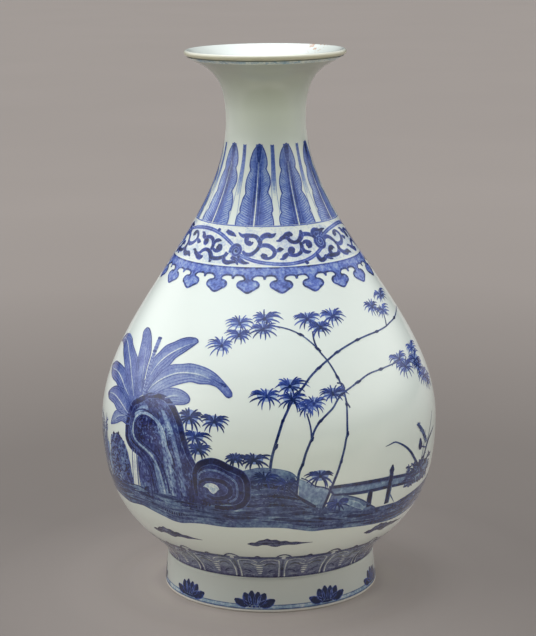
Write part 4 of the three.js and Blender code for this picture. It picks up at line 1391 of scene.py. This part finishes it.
def mounds(soil, rng):
    """The grassy mound behind the bamboo, the pale stone beside it and the slope to the fence."""
    top = ((-9, 85.5), (-6, 86.6), (-4, 87.3), (0, 87), (4, 86), (7, 84.2), (8.3, 82), (8.8, 78))
    bottom = ((-9, 63), (-6, 63), (-4, 63), (0, 63), (4, 63), (7, 63), (8.3, 63), (8.8, 63))
    soil.upright_wash(bottom, top, (0.82, 0.79, 0.73, 0.62, 0.46), WASH)
    soil.stroke(top, (0.6, 0.7, 0.6), (0.5, 0.6), DETAIL)
    soil.patch(((8.0, 73), (10.4, 71), (14.4, 66.4), (18.4, 64.4)), ((6, 62), (9, 62), (13, 62), (18, 62)),
               0.5,
               WASH - 0.004)
    soil.patch(((9.2, 81.2), (11.5, 79.8), (14, 76.8), (17, 75.4), (19.8, 73.6), (19, 69), (17.6, 64.5)),
               ((9.0, 72.5), (10, 70.5), (11.6, 68.4), (13, 66.6), (14.4, 65.6), (16, 64.8), (17.6, 64.5)),
               (0.36, 0.38, 0.34), WASH)
    soil.stroke(((9.8, 81.6), (11.8, 80.2), (14.2, 77), (17.5, 75.6), (19.6, 74)), (0.6, 0.8), 0.82, DETAIL)
    soil.stroke(((16.8, 72), (17.6, 69), (16.6, 66)), 0.5, 0.36, DETAIL)
    for left, right, level, drop, ink in ((-7.5, 5, 80.2, 1.6, 0.8), (-7, 6, 77.4, 2.2, 0.93),
                                          (-7.5, 9, 74.6, 2.6, 0.78), (-7.5, 9.5, 72.2, 2.0, 0.95),
                                          (-8, 11.5, 69.6, 2.4, 0.72), (-8, 12.6, 67.4, 1.9, 0.94),
                                          (-9, 15, 64.8, 1.0, 0.8)):
        soil.stroke(((left, level - 0.5), ((left + right) / 2, level + 0.5), (right, level - drop)),
                    (1.4, 3.0, 2.6, 0.8), (ink - 0.08, ink, ink), DETAIL)
    places = rng.uniform(-8.5, 8, 120), rng.uniform(64, 82, 120)
    dab(soil, rng, places, (1.5, 3.8), (0.6, 1.2), (-6, 14), (0.72, 0.92))
    soil.stroke(((7.6, 73.6), (9.6, 70.8), (12.2, 68.0), (15.0, 65.4)), (0.8, 1.6, 2.2, 1.4), 0.92)
    soil.stroke(((5.4, 76.6), (7.2, 74.2), (8.6, 72)), (0.8, 1.5, 1.5), 0.86)
    soil.patch(((20.5, 72.6), (25.5, 69.6), (31, 66.3), (36, 61.6), (38.5, 59.4)),
               ((18.5, 64.4), (22, 62.6), (27, 60.6), (32, 59.4), (38.5, 58.8)), (0.42, 0.46, 0.52), WASH)
    soil.stroke(((24.5, 70), (28, 68.4), (31.5, 66.1), (35.5, 62.2), (38.6, 59.4)), (0.6, 0.8, 0.7), 0.74)
    soil.stroke(((26.5, 66), (30, 63.6), (33.5, 60.4)), (2.4, 3.2, 1.6), 0.32, DETAIL)


# The garden: fence and orchids

FENCE_RAILS = (
    (((19.4, 75.2), (28, 75.0), (36, 74.6), (43.4, 74.1)), (1.7, 2.1, 2.2), 0.9),
    (((45.0, 73.8), (52, 72.8), (59, 72.0)), (1.9, 1.6), 0.88),
    (((20.6, 71.2), (28, 70.2), (36, 69.8), (43.4, 69.6)), (1.1, 1.8, 1.9), 0.89),
    (((45.0, 69.2), (52, 68.2), (59, 67.2)), (1.6, 1.4), 0.88),
)


def fence(bars, rng):
    """Two rails between two posts; the taller post ends in a pointed bud."""
    bars.patch(((20, 74.4), (43.4, 73.6)), ((21, 70.8), (43.4, 69.6)), 0.42, WASH)
    bars.patch(((45, 73.2), (52, 72.4), (59, 71.6)), ((45, 69.4), (52, 68.4), (59, 67.6)), 0.42, WASH)
    for points, width, ink in FENCE_RAILS:
        bars.stroke(points, width, ink)
    bars.stroke(((21.0, 75.8), (30, 75.7), (43, 74.8)), 0.5, 0.97)
    bars.stroke(((24.0, 74.0), (33, 73.5), (43, 72.9)), 0.5, 0.6)
    bars.stroke(((18.8, 75.0), (20.2, 73), (21.4, 71.0)), (0.8, 1.2, 0.97), 0.8)
    bars.stroke(((44.1, 59.8), (44.1, 68), (44.3, 76.4)), (3.2, 3.4, 2.9), 0.97)
    bars.stroke(((45.1, 60), (45.0, 67), (45.0, 72)), 0.6, 0.6, TOP)
    bars.stroke(((44.2, 75.6), (44.3, 78.0), (44.6, 81.0)), (2.2, 3.6, 0.8), 0.95)
    bars.stroke(((35.5, 60.8), (35.4, 65), (35.4, 69.6)), (3.0, 3.2, 2.9), 0.97)
    bars.stroke(((45.2, 64.4), (46.6, 62), (48.2, 59.4)), (0.9, 0.6, 0.4), 0.6)


ORCHID_LEAVES = (
    (((40.6, 91.6), (42.8, 92.1), (44.8, 92.6), (47.4, 91.1), (50.4, 88.5), (53.8, 84.5), (56.8, 79.6),
      (60.5, 74)),
     (0.3, 0.8, 0.9, 1.2, 1.5, 1.7, 1.8, 1.4)),
    (((75, 90.4), (71.5, 88.4), (68, 85.6), (65.5, 81), (63.5, 75)), (0.3, 1.2, 1.5, 1.5, 1.2)),
    (((66, 79.6), (62, 77), (60, 73)), (0.4, 1.0, 1.2)),
    (((52, 75.2), (55.5, 74.6), (58.5, 72)), (0.3, 1.0, 1.2)),
    (((73, 77), (68.5, 76.4), (64.5, 73)), (0.3, 1.2, 1.4)),
    (((54.5, 71), (57.5, 71.6), (60.5, 70)), (0.3, 1.0, 1.2)),
)


def orchid(plants, rng):
    """A clump of arching leaves with a jointed flower stalk and grass at its foot."""
    for points, widths in ORCHID_LEAVES:
        plants.stroke(points, np.array(widths) * 0.95, (0.7, 0.82, 0.88))
    plants.stroke(((58.6, 98), (60.4, 95), (62.4, 91.8), (64.4, 88.2), (66, 85.6)),
                  (0.7, 2.2, 2.6, 2.4, 1.2), 0.66)
    share = rng.uniform(0, 1, 46)
    places = 59 + 6.6 * share + rng.normal(0, 0.35, 46), 97.4 - 11.4 * share
    dab(plants, rng, places, (1.6, 3.8), (0.5, 1.0), (20, 40), (0.55, 0.85), LINE)
    for end, bend, width in (((73.0, 99.0), (67.0, 86.0), 0.7), ((64.6, 92.0), (63.0, 82.0), 0.6)):
        plants.stroke(((61, 71), bend, end), (width, width, 0.3), (0.84, 0.66))
    plants.blot(60.6, 85.4, 4.6, 5.0, 0.85)
    plants.blot(60.4, 87.4, 2.8, 3.8, 0.8)
    plants.stroke(((61.4, 84.6), (63.4, 83.4), (65.6, 82.6)), (0.9, 0.7, 0.6), 0.7)
    plants.upright_wash(((52, 66), (60, 65), (70, 66)), ((52, 69), (57, 75), (63, 77), (70, 74)), 0.4, WASH)
    places = rng.uniform(52, 71, 130), rng.uniform(65, 77.5, 130)
    dab(plants, rng, places, (2.5, 5.5), (0.9, 1.6), (-18, 26), (0.66, 0.95))


# Bands below the garden

STREAK_TURNS = (0.5, -42, 47.5, 92.5, 136.5, 180.5, 224.5, 270.5)
STREAK_LOW = ((-9.2, 43.6), (-7.2, 42.6), (-5.4, 42.3), (-3.6, 43.2), (-1.6, 43.1), (0.2, 42.1),
              (1.9, 41.8), (3.8, 42.8), (6.5, 43.1), (8.8, 42.8), (11.5, 43.3), (15.6, 43.6))
STREAK_HIGH = ((-9.2, 43.9), (-7.6, 44.9), (-6.2, 44.8), (-4.6, 46.3), (-3.0, 46.7), (-1.6, 47.6),
               (-0.2, 46.6), (1.6, 46.8), (3.2, 45.7), (5.2, 45.9), (7.0, 44.9), (9.0, 45.0), (12.0, 44.2),
               (15.6, 43.8))


def drifting_streaks():
    """Low touches of water or cloud under the garden, thick at one end and drawn out at the other."""
    drift = Drawing("drifting_streaks", ashen_cobalt)
    for turn in STREAK_TURNS:
        drift.move(turn=turn)
        drift.upright_wash(STREAK_LOW, STREAK_HIGH, (0.76, 0.68, 0.8), WASH, 0.7)
        for start, height, end, ink in ((-8.0, 43.9, 3.0, 0.86), (-5.0, 45.2, 1.0, 0.6),
                                        (-1.0, 44.4, 8.0, 0.84),
                                        (4.0, 43.9, 14.0, 0.8)):
            drift.stroke(((start, height), ((start + end) / 2, height + 0.35), (end, height)),
                         (0.4, 0.9, 0.3), ink)
    drift.finish()


LAPPET_COUNT = 16
LAPPET_START = 5.7
LAPPET_LOW = 18.6
LAPPET_HIGH = 34.2
LAPPET_HALF = (
    (((2.0, 31.0), (1.5, 27), (1.4, 23), (1.5, 19.2)), 0.62, 0.08, TOP, STEP),
    (((2.0, 31.0), (4.2, 32.0), (6.6, 32.1), (8.8, 31.4), (10.6, 29.8)), (0.6, 0.5, 0.55, 0.5), 0.1, TOP,
     STEP),
    (((3.2, 30.4), (5.4, 31.0), (8.0, 30.2)), (0.6, 1.0, 0.5), 0.76, LINE, STEP),
    (((3.4, 27.4), (5.6, 28.6), (7.4, 28.0), (8.6, 26.6)), (0.5, 1.7, 1.5, 0.5), 0.86, LINE, 0.8),
    (((3.0, 25.2), (4.6, 26.0), (6.2, 25.6)), (0.3, 0.55, 0.3), 0.26, TOP, 0.8),
    (((3.0, 23.6), (5.2, 23.4), (7.2, 21.8)), (0.6, 1.3, 0.7), 0.74, LINE, STEP),
    (((3.4, 21.2), (6.0, 20.8), (8.4, 20.4)), (0.3, 0.5, 0.3), 0.3, TOP, 0.8),
)
LAPPET_RUNGS = ((25.6, 3.6), (24.1, 3.4), (22.6, 2.8), (21.2, 2.0))


def lappet_band():
    """Sixteen panels over the foot: an ashen wash, pale double dividers, dark curls and a pale ladder."""
    band = Drawing("lappet_band", ashen_cobalt)
    band.ring(LAPPET_LOW, 33.4, (0.56, 0.5, 0.46, 0.44, 0.5), WASH)
    band.ring(32.6, LAPPET_HIGH, 0.69, DETAIL)
    band.ring(18.5, 19.5, 0.74, LINE)
    pitch = WHOLE_TURN / LAPPET_COUNT
    for index in range(LAPPET_COUNT):
        band.move(turn=LAPPET_START + pitch * index)
        band.stroke(((-3.6, 33.2), (-2.0, 35.2), (0, 35.9), (2.0, 35.2), (3.6, 33.2)), (1.0, 1.2, 1.0), 0.78)
        band.blot(0, 33.4, 2.2, 1.6, 0.08, TOP)
        band.stroke(((0, 31.6), (0, 26), (0, 19)), (1.6, 1.2, 1.4), 0.74, DETAIL)
        for side in (-1, 1):
            for points, width, ink, lift, step in LAPPET_HALF:
                band.stroke(np.array(points) * (side, 1), width, ink, lift, step)
        band.move(turn=LAPPET_START + pitch * (index + 0.5))
        band.stroke(((-1.5, 33.6), (0, 34.8), (1.5, 33.6)), (0.8, 1.3, 0.8), 0.78, LINE, 0.7)
        band.stroke(((-3.4, 28.8), (-1.6, 27.6), (0, 27.2), (1.6, 27.6), (3.4, 28.8)),
                    (0.3, 0.7, 0.8, 0.7, 0.3), 0.1, TOP, 0.8)
        for level, wide in LAPPET_RUNGS:
            band.blot(0, level, wide, 0.9, 0.08, TOP)
    band.finish()


FOOT_SPRAY_COUNT = 9
FOOT_SPRAY_START = -8.9
FOOT_PETALS = (
    ((-2.6, 4.3), (-6.4, 4.6), (-10.6, 6.6), 3.7), ((2.6, 4.3), (6.8, 4.7), (11.0, 6.8), 4.1),
    ((-2.4, 4.2), (-3.8, 7.0), (-5.2, 10.4), 3.9), ((2.4, 4.2), (4.2, 7.0), (6.0, 10.3), 3.8),
    ((-0.6, 4.0), (-1.2, 7.2), (-1.3, 11.6), 3.5), ((0.8, 4.0), (1.6, 7.2), (2.3, 11.0), 3.4),
)


def foot_sprays():
    """Nine sprays of six blunt petals on the foot ring, in the darkest cobalt."""
    sprays = Drawing("foot_sprays", heaped_cobalt)
    for index in range(FOOT_SPRAY_COUNT):
        sprays.move(turn=FOOT_SPRAY_START + WHOLE_TURN / FOOT_SPRAY_COUNT * index)
        sprays.upright_wash(((-8.8, 3.6), (-5, 2.8), (0, 2.5), (5, 2.8), (9.2, 3.6)),
                            ((-8.8, 5.4), (-5, 7.6), (0, 9.0), (5, 7.8), (9.2, 5.6)), 1.0, WASH, 1.2)
        for start, middle, end, width in FOOT_PETALS:
            sprays.stroke((start, middle, end), (1.8, width, width * 1.08, width * 0.95, 1.0),
                          (1.04, 1.08, 1.04), DETAIL, 0.7)
        for start, end in (((-3.6, 4.4), (-6.4, 5.4)), ((-1.2, 4.6), (-2.6, 8.4)), ((1.6, 4.6), (3.4, 8.2)),
                           ((4.2, 4.4), (7.0, 5.6))):
            sprays.stroke((start, end), (0.4, 0.3), (0.66, 0.9), LINE, thin=True)
    sprays.finish()


def painted_lines_and_lip_shadow():
    """A pale band between two plain lines round the foot, and a faint blue-grey band under the lip that is
    partly a thin line and partly painted shadow under the lip's bead.
    """
    lines = Drawing("painted_lines_and_lip_shadow", grey_cobalt)
    lines.ring(1.9, 4.1, 0.2, WASH)
    lines.ring(1.7, 2.3, 0.5, DETAIL)
    lines.ring(3.7, 4.2, 0.5, DETAIL)
    # Partly a thin cobalt line, partly painted shadow under the lip's bead
    lines.ring(MOUTH_HEIGHT - 4.9, MOUTH_HEIGHT - 3.3, (0.04, 0.1, 0.15, 0.08), WASH)
    lines.finish()


def garden():
    """The garden scene on the side that is seen, and the same scene mirrored round the back."""
    for name, material, aside, lower, draws in (
            ("plantain_tree", muted_cobalt, 0.4, 0.5, (plantain_tree,)),
            ("garden_rocks", slate_cobalt, 0.4, 0.8, (bushes, tall_rock, small_rock)),
            ("bamboo_leaves", clear_cobalt, 0.3, 0.8, (leaf_sprays,)),
            ("bamboo_culms", grey_cobalt, 0.2, 0.4, (bamboo_culms,)),
            ("garden_ground", grey_cobalt, 0.3, 0.4, (mounds,)),
            ("garden_fence", grey_cobalt, 0.1, 0.4, (fence,)),
            ("orchids", grey_cobalt, 0.4, 0.4, (orchid,))):
        drawing = Drawing(name, material)
        for seed, (turn, mirror) in ((5, (0.0, 1)), (8, (BACK_TURN, -1))):
            drawing.move(turn=turn + mirror * aside, mirror=mirror, lower=lower)
            for draw in draws:
                draw(drawing, np.random.default_rng(seed))
        if name == "garden_ground":
            drawing.move()
            ground(drawing, np.random.default_rng(32))
        drawing.finish()


neck_leaf_band()
scroll_band()
cloud_head_band()
garden()
drifting_streaks()
lappet_band()
foot_sprays()
painted_lines_and_lip_shadow()


# The floor, the light and the camera

CAMERA_PLACE = (0.0, -1.0281, 0.3625)
CAMERA_PITCH = 12.027
CAMERA_ROLL = -0.611
CAMERA_LENS = 112.44
CAMERA_SENSOR = 36.0
CAMERA_NEAREST = 0.05

PAPER_TINT = (1.09, 0.968, 0.882)
PAPER_ROUGHNESS = 0.9
PAPER_GLOSS = 0.1
FIBRE_SCALE = 3.0
FIBRE_SWING = 0.06
FIBRE_LEAST = 0.97
DEPTH_START = -0.9
DEPTH_REACH = 4.2
DEPTH_STOPS = (
    (0.0, (0.28, 0.314, 0.228)), (0.105, (0.28, 0.314, 0.228)), (0.15, (0.12, 0.134, 0.098)),
    (0.16, (0.4, 0.41, 0.385)), (0.178, (0.4, 0.41, 0.385)), (0.19, 0.185), (0.214, 0.132),
    (0.243, 0.12), (0.293, 0.134), (0.381, 0.176), (0.524, 0.208), (1.0, 0.205),
)
# Painted light: the thrown-back tone is made lighter near the vase, where its shadow falls
NEAR_REACH = 0.3
NEAR_STOPS = ((0.2, 2.3), (0.27, 1.75), (0.36, 1.34), (0.5, 1.1), (1.0, 1.0))
ASIDE_GAIN = 7.5
LEFT_SHARE = -0.45
# Painted light: the paper that the camera sees is lightest round the foot, to cancel the vase's shadow
SEEN_REACH = 2.0
SEEN_STOPS = (
    (0.031, 0.42), (0.034, 0.345), (0.038, 0.272), (0.043, 0.222), (0.05, 0.193), (0.06, 0.16),
    (0.078, 0.136), (0.105, 0.13), (0.15, 0.131), (0.287, 0.171), (0.42, 0.203), (0.68, 0.216),
    (1.0, 0.21),
)
# Painted light: the paper that the camera sees is a little lighter to the left and the front
SEEN_LEAN = (-0.5, -1.2, 0.0)
LEAN_LEAST = -0.06
LEAN_MOST = 0.16
SHEET_RINGS = 40
SHEET_SECTORS = 72
SHEET_REACH = (0.02, 9.0)


def stage_material():
    """Plain matt paper.

    To the camera it is a ramp over the distance from the vase, with painted light: it is lightest
    right round the foot, where it cancels the vase's shadow, darker a little further out and lighter
    again far away, and it is a little lighter to the left and the front, as painted light from there.
    The light it throws back follows a ramp over the depth from the camera's side, times a ramp that
    is up to 2.3 times lighter near the vase, which is painted light where the vase's shadow falls,
    with a gain that grows sideways from the vase and dies out with the distance.
    """
    material, tree, shader = bare_material("warm_grey_paper")
    place = new_node(tree, "ShaderNodeTexCoord", -1100, 0).outputs["Object"]
    parts = new_node(tree, "ShaderNodeSeparateXYZ", -900, 200, {"Vector": place}).outputs
    depth = math_node(tree, "SUBTRACT", -700, 200, parts["Y"], DEPTH_START)
    depth = math_node(tree, "DIVIDE", -550, 200, depth, DEPTH_REACH, clamp=True)
    shade = colour_ramp(tree, -350, 200, DEPTH_STOPS, depth)
    length = vector_node(tree, "LENGTH", -900, -100, place)
    reach = math_node(tree, "DIVIDE", -700, -100, length, NEAR_REACH, clamp=True)
    # Painted light near the vase, where its shadow falls
    near = colour_ramp(tree, -350, -100, NEAR_STOPS, reach)
    fibre = noise_node(tree, -700, -400, place, FIBRE_SCALE, 2.0)
    fibre = math_node(tree, "MULTIPLY", -400, -400, fibre, FIBRE_SWING)
    within = math_node(tree, "SUBTRACT", -550, 400, 1.0, reach)
    leftward = math_node(tree, "MULTIPLY", -1000, 550, parts["X"], LEFT_SHARE)
    aside = math_node(tree, "MAXIMUM", -850, 550, parts["X"], leftward)
    aside = math_node(tree, "MULTIPLY", -700, 550, aside, ASIDE_GAIN)
    aside = math_node(tree, "MULTIPLY", -400, 500, aside, within)
    gain = math_node(tree, "ADD", -250, -400, fibre, FIBRE_LEAST)
    gain = math_node(tree, "ADD", -100, -400, gain, aside)
    thrown = vector_node(tree, "MULTIPLY", -50, 100, shade, near)
    thrown = vector_node(tree, "SCALE", 100, -100, thrown, gain)
    away = math_node(tree, "DIVIDE", -700, 700, length, SEEN_REACH, clamp=True)
    # Painted light round the foot, and lighter to the left and the front
    seen = colour_ramp(tree, -350, 700, SEEN_STOPS, away)
    lean = vector_node(tree, "DOT_PRODUCT", -700, 850, place, SEEN_LEAN)
    lean = math_node(tree, "MAXIMUM", -500, 850, lean, LEAN_LEAST)
    lean = math_node(tree, "MINIMUM", -500, 900, lean, LEAN_MOST)
    lean = math_node(tree, "ADD", -400, 850, lean, FIBRE_LEAST)
    lean = math_node(tree, "ADD", -250, 850, lean, fibre)
    paper = vector_node(tree, "SCALE", 0, 700, seen, lean)
    path = new_node(tree, "ShaderNodeLightPath", 0, 400)
    choice = new_node(tree, "ShaderNodeMix", 200, 200, {
        "Factor": path.outputs["Is Camera Ray"], 4: thrown, 5: paper}, data_type="VECTOR")
    warm = vector_node(tree, "MULTIPLY", 350, 100, choice.outputs[1], PAPER_TINT)
    for label, source in (("Base Color", warm), ("Roughness", PAPER_ROUGHNESS),
                          ("Specular IOR Level", PAPER_GLOSS)):
        feed(tree, shader.inputs[label], source)
    return material


def floor_sheet():
    """A wide round sheet of paper on the floor: rings of points, a sixth further out each time."""
    reach = np.append(0.0, np.geomspace(*SHEET_REACH, SHEET_RINGS))[:, None]
    angle = np.linspace(0, 2 * np.pi, SHEET_SECTORS + 1)[None, :-1]
    points = np.stack([reach * np.cos(angle), reach * np.sin(angle), 0 * reach * angle], -1)
    faces = grid_faces(len(reach), SHEET_SECTORS, closed_across=True)[:, ::-1]
    floor = make_mesh("paper_sheet", points.reshape(-1, 3), faces, None, stage_material())
    weld_poles(floor)
    return floor


WINDOW_PLACE = (-0.75, -0.75, 1.45)
WINDOW_TARGET = (0.0, 0.0, 0.12)
WINDOW_SIZE = (1.0, 0.8)
WINDOW_POWER = 0.3
WINDOW_COLOUR = (0.98, 0.99, 1.0)


def soft_lamp(name, place, target, size, power, colour):
    """A large soft lamp aimed at a point."""
    light = bpy.data.lights.new(name, "AREA")
    light.shape = "RECTANGLE"
    light.size, light.size_y = size
    light.energy = power
    light.color = colour
    lamp = bpy.data.objects.new(name, light)
    lamp.location = place
    aim = Vector(target) - Vector(place)
    lamp.visible_glossy = False
    lamp.rotation_euler = aim.to_track_quat("-Z", "Y").to_euler()
    bpy.context.collection.objects.link(lamp)
    return lamp


def camera():
    """The photograph's viewpoint: a long lens a metre away, looking down a little."""
    pitch, roll = np.radians(CAMERA_PITCH), np.radians(CAMERA_ROLL)
    right = np.array((1.0, 0.0, 0.0))
    up = np.array((0.0, np.sin(pitch), np.cos(pitch)))
    ahead = np.array((0.0, np.cos(pitch), -np.sin(pitch)))
    camera_x = right * np.cos(roll) + up * np.sin(roll)
    camera_y = up * np.cos(roll) - right * np.sin(roll)
    view = bpy.data.cameras.new("main_view")
    view.lens = CAMERA_LENS
    view.sensor_width = CAMERA_SENSOR
    view.clip_start = CAMERA_NEAREST
    eye = bpy.data.objects.new("main_view", view)
    eye.matrix_world = Matrix((
        (camera_x[0], camera_y[0], -ahead[0], CAMERA_PLACE[0]),
        (camera_x[1], camera_y[1], -ahead[1], CAMERA_PLACE[1]),
        (camera_x[2], camera_y[2], -ahead[2], CAMERA_PLACE[2]),
        (0, 0, 0, 1)))
    bpy.context.collection.objects.link(eye)
    bpy.context.scene.camera = eye
    return eye


SKY_STOPS = (
    (0.00, (0.02, 0.02, 0.018)),
    (0.58, (0.03, 0.03, 0.028)),
    (0.80, (1.74, 1.77, 1.82)),
    (1.00, (4.35, 4.46, 4.66)),
)
SKY_LEAN = (-0.66, 0.265, 0.0)
SIDE_COLOUR = (1.0, 0.99, 0.93)
SIDE_STRENGTH = 3.1
SIDE_LEAN = -0.12
SIDE_RISE = 0.33
SIDE_POWER = 3.0


def surroundings():
    """The room as one soft dome: dark in front, lit from the sides low down and bright overhead.

    One part follows the direction's height through a ramp, times one plus the direction measured
    along the lean. The other is a power of the sideways part times one less the height, and it dies
    out smoothly towards the floor.
    """
    world = bpy.data.worlds.new("soft_room")
    world.use_nodes = True
    tree = world.node_tree
    direction = new_node(tree, "ShaderNodeTexCoord", -1100, 0).outputs["Generated"]
    parts = new_node(tree, "ShaderNodeSeparateXYZ", -900, 100, {"Vector": direction}).outputs
    ramp = colour_ramp(tree, -500, 100, SKY_STOPS, parts["Z"])
    lean = vector_node(tree, "DOT_PRODUCT", -700, -150, direction, SKY_LEAN)
    above = math_node(tree, "ADD", -400, -150, lean, 1.0)
    above = math_node(tree, "MAXIMUM", -250, -150, above, 0.0)
    aside = math_node(tree, "ABSOLUTE", -850, -350, parts["X"])
    aside = math_node(tree, "POWER", -700, -350, aside, SIDE_POWER)
    below = math_node(tree, "SUBTRACT", -700, -500, 1.0, parts["Z"], clamp=True)
    rise = range_node(tree, -700, -700, parts["Z"], 0.0, SIDE_RISE, kind="SMOOTHSTEP")
    below = math_node(tree, "MULTIPLY", -550, -500, below, rise)
    aside = math_node(tree, "MULTIPLY", -400, -400, aside, below)
    aside = math_node(tree, "MULTIPLY", -400, -350, aside, SIDE_STRENGTH)
    leftward = math_node(tree, "MULTIPLY", -850, -800, parts["X"], SIDE_LEAN)
    leftward = math_node(tree, "ADD", -700, -800, leftward, 1.0)
    aside = math_node(tree, "MULTIPLY", -300, -350, aside, leftward)
    overhead = tree.nodes["Background"]
    feed(tree, overhead.inputs["Color"], ramp)
    feed(tree, overhead.inputs["Strength"], above)
    sides = new_node(tree, "ShaderNodeBackground", -100, -350, {
        "Color": (*SIDE_COLOUR, 1), "Strength": aside})
    both = new_node(tree, "ShaderNodeAddShader", 150, -100, {
        0: overhead.outputs["Background"], 1: sides.outputs["Background"]})
    tree.links.new(both.outputs["Shader"], tree.nodes["World Output"].inputs["Surface"])
    bpy.context.scene.world = world


camera()
floor_sheet()
surroundings()
soft_lamp("left_window", WINDOW_PLACE, WINDOW_TARGET, WINDOW_SIZE, WINDOW_POWER, WINDOW_COLOUR)

bpy.context.scene.view_settings.view_transform = "Standard"
